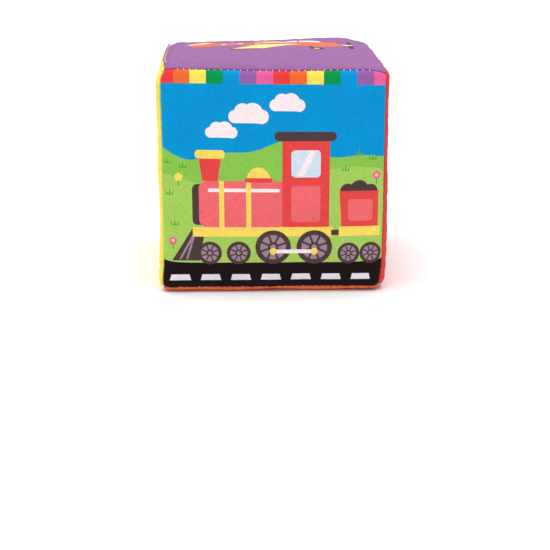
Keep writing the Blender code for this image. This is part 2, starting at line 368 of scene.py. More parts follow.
    def ridge_path(self, past):
        """Gap and level along the ridge: up its fillet and wall, over its top and down the hem."""
        wall_end = self.fillet_run + self.wall_run
        bend = self.slope + past / self.fillet
        over = (past - wall_end) / self.ridge_turn
        top = self.ridge_crest - self.ridge_turn
        legs = [past < self.fillet_run, past < wall_end, past < self.ridge_run]
        gaps = [self.sizes.seam_reach + self.fillet * (math.sin(self.slope) - np.sin(bend)),
                self.sizes.ridge_half,
                self.half_gap + self.ridge_turn * (1 + np.cos(over))]
        levels = [self.ridge_root + self.fillet * (math.cos(self.slope) - np.cos(bend)),
                  self.wall_start + past - self.fillet_run,
                  top + self.ridge_turn * np.sin(over)]
        hanging = top - (past - self.ridge_run)
        return np.select(legs, gaps, self.half_gap), np.select(legs, levels, hanging)

    def ridge_lean(self, along, level):
        """How far the pinched ridge leans off its plane, towards the top, and how its height varies."""
        height = np.clip((level - self.ridge_root) / self.sizes.ridge_height, *RIDGE_LEAN_SPAN)
        wander = RIDGE_WANDER * ripple(along, RIDGE_WANDER_SEED, RIDGE_WANDER_LENGTH) + RIDGE_SLOUCH
        rise = RIDGE_RISE * ripple(along, RIDGE_RISE_SEED, RIDGE_WANDER_LENGTH)
        return wander * height, rise * height

    def skirt_points(self, name, edge, along, past):
        """Solid points of the cloth turned in beyond one border, past that border by real lengths."""
        start = self.seam_start(along)
        place, share = start[:2]
        if RIDGE_EDGES.get(name) != edge:
            return self.seam_solid(edge, place, share, *self.fold_path(start, past))
        folded = self.fold_path(start, past * self.fold_run / self.ridge_run)
        pinched = self.ridge_path(past)
        weight = smooth_step((self.flat_half - np.abs(along)) / self.sizes.corner_clip)
        gap, level = (low + (high - low) * weight for low, high in zip(folded, pinched))
        # The ridge runs along the block's Y, whichever way the panel's own edge runs
        run = axes_of(name)[1 - across_axis(edge)]
        wander, rise = self.ridge_lean(along * run[1], level)
        side = 1 if name == "top_panel" else -1
        return self.seam_solid(edge, place, share, gap + side * wander * weight, level + rise * weight)

    def base_points(self, name, flat):
        """Solid points for any flat coordinates of a panel, before the sewing pulls at them."""
        inner = np.clip(flat, -self.border, self.border)
        points = self.face_points(name, inner)
        for edge in EDGES:
            axis = across_axis(edge)
            past = flat[:, axis] * edge[axis] - self.border
            on = past > 0
            if on.any():
                points[on] = self.skirt_points(name, edge, inner[on, 1 - axis], past[on])
        return points

    def normals(self, name, flat):
        """Outward directions of the undisturbed surface."""
        step = 0.02 * MM
        ahead, behind = [], []
        for move in ((step, 0), (0, step)):
            ahead.append(self.base_points(name, flat + move))
            behind.append(self.base_points(name, flat - move))
        across, along = (far - near for far, near in zip(ahead, behind))
        out = np.cross(across, along)
        return out / np.maximum(np.linalg.norm(out, axis=1, keepdims=True), 1e-12)

    def pull(self, name, flat):
        """How far the sewing draws the cloth in, with the soft puckers that run out from it."""
        number = list(PANELS).index(name)
        inner = np.clip(flat, -self.border, self.border)
        block_points = self.base_points(name, inner) @ axes_of(name)
        drawn = np.zeros(len(flat))
        for edge in EDGES:
            axis = across_axis(edge)
            ridged = RIDGE_EDGES.get(name) == edge
            distance = self.border - inner[:, axis] * edge[axis]
            seed = edge_seed(normal_of(name), edge_normal(name, edge))
            along = block_points[:, np.argmax(np.abs(axes_of(name)[1 - axis]))]
            pitch = self.sizes.ridge_pitch if ridged else self.sizes.stitch_pitch
            wave = 0.5 + 0.5 * np.cos(TURN * along / pitch)
            depth = STITCH_DIMPLE * (1 + DIMPLE_VARIES * ripple(along, seed, DIMPLE_LENGTH))
            drawn += depth * wave * np.exp(-distance / DIMPLE_REACH)
            if ridged:
                off = (distance - RIDGE_CREASE_PLACE) / RIDGE_CREASE_PLACE
                drawn += RIDGE_CREASE * np.exp(-(off**2))
            deepest = PUCKER_DEPTH * (RIDGE_PUCKER if ridged else 1)
            puckers = ripple(along, seed + PUCKER_SEEDS * (1 + number), PUCKER_LENGTH)
            drawn += deepest * puckers * np.exp(-distance / PUCKER_REACH)
        drawn += FACE_UNEVEN * unevenness(inner, number, FACE_UNEVEN_LENGTH)
        drawn += creases(name, inner)
        past = np.maximum(np.abs(flat) - self.border, 0).max(axis=1)
        held = smooth_step(1 - past / self.fold_run)
        corner = np.clip((np.abs(inner) - self.flat_half) / (self.border - self.flat_half), 0, 1)
        return drawn * held * (1 - corner[:, 0] * corner[:, 1])

    def points(self, name, flat):
        """Points of a panel in the scene, with all that the sewing and the filling do to it."""
        solid = self.base_points(name, flat)
        drawn = self.pull(name, flat)
        if self.inset:
            # The foam follows the cloth's valleys, except beside its slits
            drawn *= smooth_step((self.border - np.abs(flat).max(axis=1)) / FOAM_EASE)
        solid -= self.normals(name, flat) * drawn[:, None]
        return placed(solid @ axes_of(name), self.sizes)


# Creases, in millimetres: ends in a panel's flat coordinates, then width and depth
CREASES = {
    "top_panel": [
        ((-43, -36), (-37, -49), 1.7, 0.9),
        ((-49, 38), (-40, 44), 1.5, 0.45),
        ((-49, 8), (-42, 5), 1.3, 0.25),
        ((46, -49), (35, -40), 2, 0.25),
    ],
    "left_panel": [
        ((30, 49), (27, 40), 1.6, 0.35),
        ((-20, 49), (-24, 41), 1.4, 0.25),
    ],
    "front_panel": [
        ((48, 49), (39, 41), 2.2, 0.3),
        ((-49, 48), (-42, 39), 1.8, 0.22),
    ],
}
CREASE_FULL = 0.3  # the share of its run, to each side of its middle, where a crease is deepest
CREASE_FADE = 0.25


def creases(name, flat):
    """Soft valleys that fade towards both ends."""
    drawn = np.zeros(len(flat))
    for crease in CREASES.get(name, []):
        start, end, width, depth = (np.array(part) * MM for part in crease)
        run = end - start
        share = (flat - start) @ run / (run @ run)
        off = np.linalg.norm(flat - start - share[:, None] * run, axis=1)
        ends = np.exp(-(np.clip(np.abs(share - 0.5) - CREASE_FULL, 0, None) / CREASE_FADE) ** 2)
        drawn += depth * ends * np.exp(-(off / width) ** 2)
    return drawn


# The top is a little twisted, with its back right corner high
FRONT_TILT = 0.3 * MM
TWIST = 1.0 * MM
BASE_ROLL = 0.65 * MM
BASE_ROLL_START = 0.1 * MM
BASE_ROLL_RUN = 3.2 * MM

# Where the filling has settled and the cloth has crept: the place in shares of half the side, then
# the reach and the pull along X, Y and Z in millimetres
CORNER = 0.96
SETTLED = [
    # The corners, where the cloth is fullest, are rounder or flatter than the foam
    ((-CORNER, -CORNER, CORNER), (3.2, 3.2, 3.2), (-0.3, 0.4, -0.5)),
    ((CORNER, -CORNER, CORNER), (3.2, 3.2, 3.2), (-0.1, 0.2, -0.2)),
    ((-CORNER, -CORNER, -CORNER), (4, 4, 7), (-1, 0.3, -0.1)),
    ((CORNER, -CORNER, -CORNER), (4.5, 4.5, 4.5), (-1, 0.3, -0.05)),
    ((CORNER, CORNER, CORNER), (6, 6, 6), (-1, -0.5, -2)),
    ((-1, CORNER, CORNER), (2.8, 5.5, 5.5), (0, 0, -0.7)),
    ((-0.93, 1, 1), (2.5, 6, 5), (0, 0, 0.5)),
    ((-CORNER, CORNER, -CORNER), (3.2, 3.2, 3.2), (0.5, -0.6, 0.4)),
    ((CORNER, CORNER, -CORNER), (3.2, 3.2, 3.2), (-0.6, -0.5, 0.5)),
    # The front left seam lies a little to the right
    ((-CORNER, -CORNER, None), (2, 2, 1), (0.15, 0, 0)),
    ((-0.97, -0.97, 0.55), (16, 16, 16), (0.4, 0, 0)),
    # The yellow cloth is drawn over the top's front corner, and the end of the ridge with it
    ((-0.97, -0.84, 0.98), (7, 9, 3.4), (1.5, 0, -0.1)),
    ((-0.97, -0.84, 0.97), (2.4, 12, 2.4), (0.7, 0, 0.1)),
    ((-1.05, -0.95, 0.84), (2, 8, 4), (-0.35, 0, 0)),
    # The ridge lies in on the top, and the yellow cloth swells out beside it
    ((-0.985, -0.3, 0.99), (2.4, 18, 2.6), (0.8, 0, 0)),
    ((-1.02, 0.4, 0.9), (2.5, 25, 4), (-0.9, 0, 0)),
    # The top's front seam rolls down a little onto the front
    ((-0.45, -0.97, 0.97), (18, 2.6, 2.6), (0, 0, -0.5)),
    ((0.15, -0.97, 0.97), (18, 2.6, 2.6), (0, 0, -0.6)),
    # The top's cloth is drawn over the right edge, which dips towards the back
    ((0.97, None, 0.97), (2.6, 1, 2.6), (0.4, 0, -1.1)),
    ((0.97, 0.2, 0.97), (2.6, 28, 2.6), (0.6, 0, 0)),
    ((0.97, 0.5, 0.97), (6, 22, 6), (-0.35, 0, -0.3)),
    ((1.03, 0.15, 0.93), (2.2, 30, 3), (-0.8, 0, 0)),
    # The top's back seam stands up before its right corner
    ((0.68, 1, 1), (13, 10, 6), (0, 0, 0.8)),
    # The sides bulge here and there beside their front edges
    ((-1.04, -0.93, 0.7), (1.8, 8, 10), (-0.5, 0, 0)),
    ((-1.04, -0.93, -0.3), (1.8, 8, 12), (0.5, 0, 0)),
    ((-1.04, -0.95, -0.75), (1.8, 8, 14), (-0.7, 0, 0)),
    ((1.04, -0.93, -0.2), (1.8, 8, 17), (1, 0, 0)),
    ((1.04, -0.95, -0.85), (1.8, 8, 13), (1.7, 0, 0)),
]


def nearness(points, spot, reaches):
    """1 at a spot, falling away smoothly over a reach on each axis.

    On an axis where the spot has None, any place is near.
    """
    total = np.zeros(len(points))
    for axis, place in enumerate(spot):
        if place is not None:
            total += ((points[:, axis] - place) / reaches[axis]) ** 2
    return np.exp(-total / 2)


def placed(points, sizes):
    """Moves points from the block's middle to its place, with the set that the soft block has taken."""
    half = sizes.block_side / 2
    share = np.clip(points / half, -1, 1)
    high = smooth_step((share[:, 2] + 1) / 2)
    moved = points.copy()
    moved[:, 2] += high * (FRONT_TILT * share[:, 0] + TWIST * share[:, 0] * share[:, 1])
    for spot, reaches, pull in SETTLED:
        place = tuple(None if part is None else part * half for part in spot)
        moved += nearness(points, place, np.array(reaches) * MM)[:, None] * np.array(pull) * MM
    moved[:, 2] += CENTRE_HEIGHT
    # The block's weight rolls the bottom seams up off the surface
    moved[:, 2] += BASE_ROLL * smooth_step((moved[:, 2] - BASE_ROLL_START) / BASE_ROLL_RUN)
    moved[:, 2] = np.maximum(moved[:, 2], 0)
    return moved


def spline_weights(t):
    """How much each of four points in a row counts, at t from 0 to 1 between the middle two.

    They are those of a cubic B-spline.
    """
    return np.stack([(1 - t) ** 3, 3 * t**3 - 6 * t**2 + 4, -3 * t**3 + 3 * t**2 + 3 * t + 1, t**3]) / 6


def sample_field(field, shares):
    """A square grid of values read with cubic B-splines, which soften its steps.

    shares run from -1 to 1 across the grid.
    """
    last = len(field) - 1
    spots = (np.clip(shares, -1, 1) + 1) / 2 * last
    cells = np.minimum(spots.astype(int), last - 1)
    weights = spline_weights(spots - cells)
    total = np.zeros(len(shares))
    for i in range(4):
        for j in range(4):
            rows = np.clip(cells[:, 0] + i - 1, 0, last)
            columns = np.clip(cells[:, 1] + j - 1, 0, last)
            total += weights[i, :, 0] * weights[j, :, 1] * field[rows, columns]
    return total


def lattice(lines):
    """Flat coordinates of every crossing of a square's lines."""
    across, along = np.meshgrid(lines, lines, indexing="ij")
    return np.stack([across.ravel(), along.ravel()], 1)


def add_face(mesh, points, steps):
    """Adds one square face of the block to a bmesh, as steps by steps quads over a lattice's points."""
    verts = [mesh.verts.new(point) for point in points]
    width = steps + 1
    for i in range(steps):
        for j in range(steps):
            spot = i * width + j
            mesh.faces.new([verts[k] for k in (spot, spot + width, spot + width + 1, spot + 1)])


# The slack cover before it is inflated
SLACK_SEED = 5
SLACK_NOISE = 0.15 * MM
SWELL_FRAMES = 20
SLACK_CLOTH = {
    "quality": 6,
    "mass": 0.3,
    "tension_stiffness": 20,
    "compression_stiffness": 20,
    "shear_stiffness": 5,
    "bending_stiffness": 0.2,
    "air_damping": 4,
    "use_pressure": True,
    "uniform_pressure_force": 4,
    "shrink_min": -0.012,  # how much larger the cloth is than the block, as a share
    "vertex_group_mass": "seams",
}


def inflate(sizes):
    """Simulates the slack cover under pressure, held at its seams, and keeps each panel's crown.

    The result is each panel's height above its plane, scaled so that it peaks at 1.
    """
    half = sizes.block_side / 2
    flat = lattice(np.linspace(-1, 1, SWELL_STEPS + 1))
    plane = np.column_stack([flat, np.ones(len(flat))]) * half
    corners = {name: plane @ axes_of(name) for name in PANELS}
    cover = bmesh.new()
    for points in corners.values():
        add_face(cover, points, SWELL_STEPS)
    bmesh.ops.remove_doubles(cover, verts=cover.verts, dist=sizes.cloth_thickness)
    data = bpy.data.meshes.new("cover_form")
    cover.to_mesh(data)
    cover.free()
    form = bpy.data.objects.new("cover_form", data)
    scene = bpy.context.scene
    scene.collection.objects.link(form)
    spots = np.array([vert.co for vert in data.vertices])
    seams = [i for i, spot in enumerate(spots) if (np.abs(spot) > half - MM).sum() > 1]
    form.vertex_groups.new(name="seams").add(seams, 1, "REPLACE")
    inside = np.setdiff1d(np.arange(len(spots)), seams)
    creased = spots.copy()
    creased[inside] += np.random.default_rng(SLACK_SEED).normal(0, SLACK_NOISE, (len(inside), 3))
    for vert, spot in zip(data.vertices, creased):
        vert.co = spot
    cloth = form.modifiers.new("cloth", "CLOTH")
    for key, value in SLACK_CLOTH.items():
        setattr(cloth.settings, key, value)
    cloth.settings.effector_weights.gravity = 0
    for step in range(1, SWELL_FRAMES + 1):
        scene.frame_set(step)
    settled = form.evaluated_get(bpy.context.evaluated_depsgraph_get())
    after = np.array([vert.co for vert in settled.data.vertices])
    # The merged corners of the mesh are found again by where they started
    found = {tuple(np.round(spot / MM, 2)): i for i, spot in enumerate(spots)}
    for name, points in corners.items():
        places = [found[tuple(np.round(point / MM, 2))] for point in points]
        height = (after[places] @ normal_of(name) - half).reshape(SWELL_STEPS + 1, -1)
        SWELL[name] = np.clip(height / height.max(), 0, 1)
    scene.frame_set(1)
    bpy.data.objects.remove(form)
    bpy.data.meshes.remove(data)


def add_node(tree, kind, settings=None, inputs=None):
    """Adds a node. Inputs are linked where they are sockets, and set where they are values."""
    node = tree.nodes.new(kind)
    for key, value in (settings or {}).items():
        setattr(node, key, value)
    for key, value in (inputs or {}).items():
        if isinstance(value, bpy.types.NodeSocket):
            tree.links.new(value, node.inputs[key])
        else:
            node.inputs[key].default_value = value
    return node


def new_material(name):
    """A material and its node tree, which is empty."""
    made = bpy.data.materials.new(name)
    made.use_nodes = True
    made.node_tree.nodes.clear()
    return made, made.node_tree


def printed_polyester():
    """Plain-woven polyester with a heat-transfer print: matt, faintly ribbed, ink within the fibre."""
    made, tree = new_material("printed polyester plain weave")
    ink = add_node(tree, "ShaderNodeAttribute", {"attribute_name": "print"})
    cloth = add_node(tree, "ShaderNodeUVMap", {"uv_map": "flat_cloth"})
    # Threads 0.15 mm apart would vanish in the render, so they are drawn 0.5 mm apart
    parts = add_node(tree, "ShaderNodeSeparateXYZ", inputs={"Vector": cloth.outputs["UV"]})
    waves = []
    for axis in ("X", "Y"):
        turns = add_node(tree, "ShaderNodeMath", {"operation": "MULTIPLY"},
                         {0: parts.outputs[axis], 1: math.pi / (0.5 * MM)})
        waves.append(add_node(tree, "ShaderNodeMath", {"operation": "SINE"}, {0: turns.outputs[0]}))
    # Over and under by turns: where the product is high the warp's round back shows, and else the weft's
    over = add_node(tree, "ShaderNodeMath", {"operation": "MULTIPLY"},
                    {0: waves[0].outputs[0], 1: waves[1].outputs[0]})
    which = add_node(tree, "ShaderNodeMapRange", {"interpolation_type": "SMOOTHSTEP"},
                     {"Value": over.outputs[0], "From Min": -0.25, "From Max": 0.25})
    backs = [add_node(tree, "ShaderNodeMath", {"operation": "ABSOLUTE"}, {0: wave.outputs[0]})
             for wave in waves]
    weave = add_node(tree, "ShaderNodeMix", {"data_type": "FLOAT"}, {
        "Factor": which.outputs["Result"], "A": backs[1].outputs[0], "B": backs[0].outputs[0]})
    # Slubs: the yarn is a little thicker here and there along its run
    slub = add_node(tree, "ShaderNodeTexNoise", {"noise_dimensions": "2D"}, {
        "Vector": cloth.outputs["UV"], "Scale": 1 / (2.2 * MM), "Detail": 3, "Roughness": 0.6})
    surface = add_node(tree, "ShaderNodeMath", {"operation": "MULTIPLY_ADD"},
                       {0: weave.outputs["Result"], 1: 0.6, 2: slub.outputs["Fac"]})
    bump = add_node(tree, "ShaderNodeBump",
                    inputs={"Strength": 0.35, "Distance": 0.12 * MM, "Height": surface.outputs[0]})
    # The transfer takes a little unevenly, so the ink's depth drifts by two or three parts in a hundred
    drift = add_node(tree, "ShaderNodeTexNoise", {"noise_dimensions": "2D"},
                     {"Vector": cloth.outputs["UV"], "Scale": 1 / (14 * MM), "Detail": 2})
    drift_value = add_node(tree, "ShaderNodeMapRange", inputs={
        "Value": drift.outputs["Fac"], "From Min": 0.3, "From Max": 0.7, "To Min": 0.97, "To Max": 1.03})
    # The yarns' round backs are painted lighter and the hollows between them darker, as shade in the
    # weave, and this multiplies into the ink's depth
    yarn_crown_shade = add_node(tree, "ShaderNodeMapRange", inputs={
        "Value": weave.outputs["Result"], "To Min": 0.95, "To Max": 1.03})
    depth = add_node(tree, "ShaderNodeMath", {"operation": "MULTIPLY"},
                     {0: drift_value.outputs["Result"], 1: yarn_crown_shade.outputs["Result"]})
    # No two yarns take the ink alike, which shows as fine lines along the weft and along the warp
    for stretch, spread in (((0.16, 1, 1), 0.05), ((1, 0.16, 1), 0.035)):
        along = add_node(tree, "ShaderNodeVectorMath", {"operation": "MULTIPLY"},
                         {0: cloth.outputs["UV"], 1: stretch})
        yarn = add_node(tree, "ShaderNodeTexNoise", {"noise_dimensions": "2D"},
                        {"Vector": along.outputs[0], "Scale": 1 / (0.4 * MM), "Detail": 0})
        taken = add_node(tree, "ShaderNodeMapRange", inputs={
            "Value": yarn.outputs["Fac"], "From Min": 0.3, "From Max": 0.7,
            "To Min": 1 - spread, "To Max": 1 + spread})
        depth = add_node(tree, "ShaderNodeMath", {"operation": "MULTIPLY"},
                         {0: depth.outputs[0], 1: taken.outputs["Result"]})
    # The print's colour, with the ink's drift and yarn lines, and the painted weave shade
    inked_and_weave_shaded = add_node(tree, "ShaderNodeVectorMath", {"operation": "SCALE"},
                     {0: ink.outputs["Color"], "Scale": depth.outputs[0]})
    roughness = add_node(tree, "ShaderNodeMapRange", inputs={
        "Value": slub.outputs["Fac"], "From Min": 0.3, "From Max": 0.7, "To Min": 0.78, "To Max": 0.92})
    shader = add_node(tree, "ShaderNodeBsdfPrincipled", inputs={
        "Base Color": inked_and_weave_shaded.outputs[0], "Roughness": roughness.outputs["Result"],
        "Normal": bump.outputs["Normal"], "IOR": 1.5, "Specular IOR Level": 0.1,
        "Sheen Weight": 0.03, "Sheen Roughness": 0.5})
    add_node(tree, "ShaderNodeOutputMaterial", inputs={"Surface": shader.outputs[0]})
    return made


def spun_thread(colours):
    """Spun polyester sewing thread: two plies whose twist catches the light as fine slanting lines."""
    made, tree = new_material("spun polyester thread")
    around = add_node(tree, "ShaderNodeUVMap", {"uv_map": "thread"})
    # The plies turn once in 0.9 mm; U runs along the thread in metres and V once around it
    parts = add_node(tree, "ShaderNodeSeparateXYZ", inputs={"Vector": around.outputs["UV"]})
    turns = add_node(tree, "ShaderNodeMath", {"operation": "MULTIPLY_ADD"},
                     {0: parts.outputs["X"], 1: 1 / (0.9 * MM), 2: parts.outputs["Y"]})
    # Two plies, so two ridges to a turn
    phase = add_node(tree, "ShaderNodeMath", {"operation": "MULTIPLY"},
                     {0: turns.outputs[0], 1: 2 * TURN})
    ply = add_node(tree, "ShaderNodeMath", {"operation": "SINE"}, {0: phase.outputs[0]})
    fuzz = add_node(tree, "ShaderNodeTexNoise", {"noise_dimensions": "3D"},
                    {"Scale": 1 / (0.4 * MM), "Detail": 2})
    height = add_node(tree, "ShaderNodeMath", {"operation": "MULTIPLY_ADD"},
                      {0: ply.outputs[0], 1: 0.5, 2: fuzz.outputs["Fac"]})
    bump = add_node(tree, "ShaderNodeBump",
                    inputs={"Strength": 0.6, "Distance": 0.06 * MM, "Height": height.outputs[0]})
    # The grooves between the plies are painted darker, as shade, on the thread's colour
    tone = add_node(tree, "ShaderNodeMapRange", inputs={
        "Value": ply.outputs[0], "From Min": -1, "From Max": 1, "To Min": 0.9, "To Max": 1})
    ply_shaded_thread = add_node(tree, "ShaderNodeVectorMath", {"operation": "SCALE"},
                    {0: tuple(colours.thread), "Scale": tone.outputs["Result"]})
    shader = add_node(tree, "ShaderNodeBsdfPrincipled", inputs={
        "Base Color": ply_shaded_thread.outputs[0], "Roughness": 0.6, "Normal": bump.outputs["Normal"],
        "IOR": 1.5, "Specular IOR Level": 0.4, "Sheen Weight": 0.2, "Sheen Roughness": 0.4})
    add_node(tree, "ShaderNodeOutputMaterial", inputs={"Surface": shader.outputs[0]})
    return made


def open_cell_foam(colours):
    """Cut polyurethane foam: dull, with open cells of about a millimetre."""
    made, tree = new_material("open-cell polyurethane foam")
    place = add_node(tree, "ShaderNodeTexCoord")
    cells = add_node(tree, "ShaderNodeTexVoronoi", {"feature": "DISTANCE_TO_EDGE"},
                     {"Vector": place.outputs["Object"], "Scale": 1 / MM})
    # The hollows of the open cells are painted darker, as shade, and sink in the bump
    wall = add_node(tree, "ShaderNodeMapRange", inputs={
        "Value": cells.outputs["Distance"], "From Min": 0, "From Max": 0.25, "To Min": 1, "To Max": 0.7})
    pore_shaded_foam = add_node(tree, "ShaderNodeVectorMath", {"operation": "SCALE"},
                    {0: tuple(colours.foam), "Scale": wall.outputs["Result"]})
    bump = add_node(tree, "ShaderNodeBump",
                    inputs={"Strength": 0.8, "Distance": 0.3 * MM, "Height": wall.outputs["Result"]})
    shader = add_node(tree, "ShaderNodeBsdfPrincipled", inputs={
        "Base Color": pore_shaded_foam.outputs[0], "Roughness": 1, "Normal": bump.outputs["Normal"],
        "Specular IOR Level": 0.2})
    add_node(tree, "ShaderNodeOutputMaterial", inputs={"Surface": shader.outputs[0]})
    return made


def matt_floor():
    """A white studio floor in matt paint, which clips to white in the lamps and keeps the shadow."""
    made, tree = new_material("matt white floor paint")
    place = add_node(tree, "ShaderNodeTexCoord")
    # The paint's tone drifts a little every 25 mm
    speck = add_node(tree, "ShaderNodeTexNoise",
                     inputs={"Vector": place.outputs["Object"], "Scale": 1 / (25 * MM)})
    tone = add_node(tree, "ShaderNodeMapRange", inputs={
        "Value": speck.outputs["Fac"], "From Min": 0.3, "From Max": 0.7, "To Min": 0.94, "To Max": 0.96})
    shader = add_node(tree, "ShaderNodeBsdfPrincipled", inputs={
        "Base Color": tone.outputs["Result"], "Roughness": 0.9, "Specular IOR Level": 0.1})
    add_node(tree, "ShaderNodeOutputMaterial", inputs={"Surface": shader.outputs[0]})
    return made


class Picture:
    """A print in millimetres from a panel's middle, as shapes laid on top of each other."""

    def __init__(self, ground):
        self.ground = ground
        self.shapes = []

    def outline(self, ink, points):
        """A shape with any outline, closed from its last point to its first."""
        self.shapes.append((ink, np.array(points, float)))

    def arc(self, x, y, across, up, start=0, end=360):
        """Points on an ellipse, from one angle to another in degrees."""
        steps = max(4, int((6 + 2 * max(across, up)) * abs(end - start) / 120))
        angles = np.radians(np.linspace(start, end, steps + 1))
        if end - start == 360:
            angles = angles[:-1]
        return list(zip(x + across * np.cos(angles), y + up * np.sin(angles)))

    def disc(self, ink, x, y, radius, up=None, start=0, end=360):
        """A disc, an oval if its reach upwards is given, or the part of it between two angles."""
        self.outline(ink, self.arc(x, y, radius, up or radius, start, end))

    def box(self, ink, left, low, right, high, corner=0):
        """A box, with round corners if corner is more than nothing."""
        if not corner:
            self.outline(ink, [(left, low), (right, low), (right, high), (left, high)])
            return
        points = []
        for x, y, start in ((right, high, 0), (left, high, 90), (left, low, 180), (right, low, 270)):
            middle_x = x - corner if x == right else x + corner
            middle_y = y - corner if y == high else y + corner
            points += self.arc(middle_x, middle_y, corner, corner, start, start + 90)
        self.outline(ink, points)

    def bar(self, ink, start, end, thick):
        """A straight bar with square ends."""
        start, end = np.array(start, float), np.array(end, float)
        side = np.array([start[1] - end[1], end[0] - start[0]])
        side *= thick / 2 / np.linalg.norm(side)
        self.outline(ink, [start + side, start - side, end - side, end + side])

    def tuft(self, x, y):
        """Three blades of grass."""
        for lean in (-1, 0, 1):
            tall = 3.2 - abs(lean)
            self.outline("grass", [(x + lean - 0.5, y), (x + lean + 0.5, y), (x + 1.9 * lean, y + tall)])

    def flower(self, x, y, petals):
        """Five petals in one ink, on a stalk."""
        self.bar("grass", (x, y), (x, y + 3), 0.5)
        for turn in range(5):
            angle = TURN * turn / 5 + QUARTER_TURN
            self.disc(petals, x + 1.1 * math.cos(angle), y + 4 + 1.1 * math.sin(angle), 0.85)
        self.disc("gold", x, y + 4, 0.75)

    def cloud(self, x, y, size):
        """Four puffs on a flat bottom."""
        for dx, dy, radius in ((-1.1, 0, 0.55), (-0.45, 0.38, 0.72), (0.4, 0.3, 0.85), (1.15, 0, 0.6)):
            self.disc("white", x + dx * size, y + dy * size, radius * size)
        self.box("white", x - 1.1 * size, y - 0.55 * size, x + 1.15 * size, y + 0.3 * size)

    def porthole(self, x, y, outer, inner):
        """A round window in a dark rim."""
        self.disc("brown", x, y, outer)
        self.disc("glass", x, y, inner)

    def star(self, ink, x, y, radius):
        """A star with five points, one of them straight up."""
        points = []
        for turn in range(10):
            reach = radius if turn % 2 == 0 else radius * 0.45
            angle = QUARTER_TURN + turn * math.pi / 5
            points.append((x + reach * math.cos(angle), y + reach * math.sin(angle)))
        self.outline(ink, points)


# The pictures' common layout, in millimetres from the middle of a panel
EDGE = 60  # past the allowances
STRIP_LOW = 43.1
STRIP_SQUARE = 7.3
STRIP_START = -65.6
BAND_TOP = -37.3
BAND_RISE = 1.4
BAND_RISE_RUN = 3.6
SEEN = 49  # to the seam, beyond which the print is folded in
STRIP_SQUARES = 17
STRIP_INKS = ("strip_purple", "strip_pink", "strip_red", "strip_orange", "strip_yellow", "strip_green",
              "sky")
SLEEPER_PITCH = 13.6
SLEEPER_SHIFT = -1
SLEEPER_LOW, SLEEPER_LOW_HALF = BAND_TOP - 8.4, 4.6
SLEEPER_HIGH, SLEEPER_HIGH_HALF = BAND_TOP - 5.6, 3.9


def countryside():
    """Sky and rolling hills; the dark band along the bottom and the strip of coloured squares on top
    come later.
    """
    picture = Picture("sky")
    far = [(x, 14 + 3.4 * math.sin(x / 11 + 1.2) + 1.5 * math.sin(x / 5))
           for x in np.linspace(-EDGE, EDGE, 60)]
    picture.outline("far_hill", [(-EDGE, -EDGE), *far, (EDGE, -EDGE)])
    near = [(x, 2 + 5 * math.sin(x / 17 - 0.6)) for x in np.linspace(-EDGE, EDGE, 50)]
    picture.outline("meadow", [(-EDGE, -EDGE), *near, (EDGE, -EDGE)])
    return picture


def finish_countryside(picture):
    """What lies over the hills whatever the picture shows."""
    # The band's top rises a little to the seams
    top = [(x, BAND_TOP + BAND_RISE * math.exp(min(0, abs(x) - SEEN) / BAND_RISE_RUN))
           for x in np.linspace(-EDGE, EDGE, 81)]
    picture.outline("band", [(-EDGE, -EDGE), *top, (EDGE, -EDGE)])
    for step in range(-3, 4):
        middle = SLEEPER_PITCH * step + SLEEPER_SHIFT
        picture.outline("sleeper", [
            (middle - SLEEPER_LOW_HALF, SLEEPER_LOW), (middle + SLEEPER_LOW_HALF, SLEEPER_LOW),
            (middle + SLEEPER_HIGH_HALF, SLEEPER_HIGH), (middle - SLEEPER_HIGH_HALF, SLEEPER_HIGH)])
    for step in range(STRIP_SQUARES):
        left = STRIP_START + STRIP_SQUARE * step
        picture.box(STRIP_INKS[step % len(STRIP_INKS)], left, STRIP_LOW, left + STRIP_SQUARE, EDGE)
    return picture


def wheel(picture, x, y, radius):
    """A spoked wheel."""
    picture.disc("brown", x, y, radius)
    picture.disc("mauve", x, y, radius * 0.72)
    for turn in range(4):
        angle = math.radians(45 * turn + 20)
        tip = np.array([math.cos(angle), math.sin(angle)]) * radius * 0.74
        picture.bar("brown", np.array([x, y]) - tip, np.array([x, y]) + tip, radius * 0.12)
    picture.disc("brown", x, y, radius * 0.3)
    picture.disc("mauve", x, y, radius * 0.16)


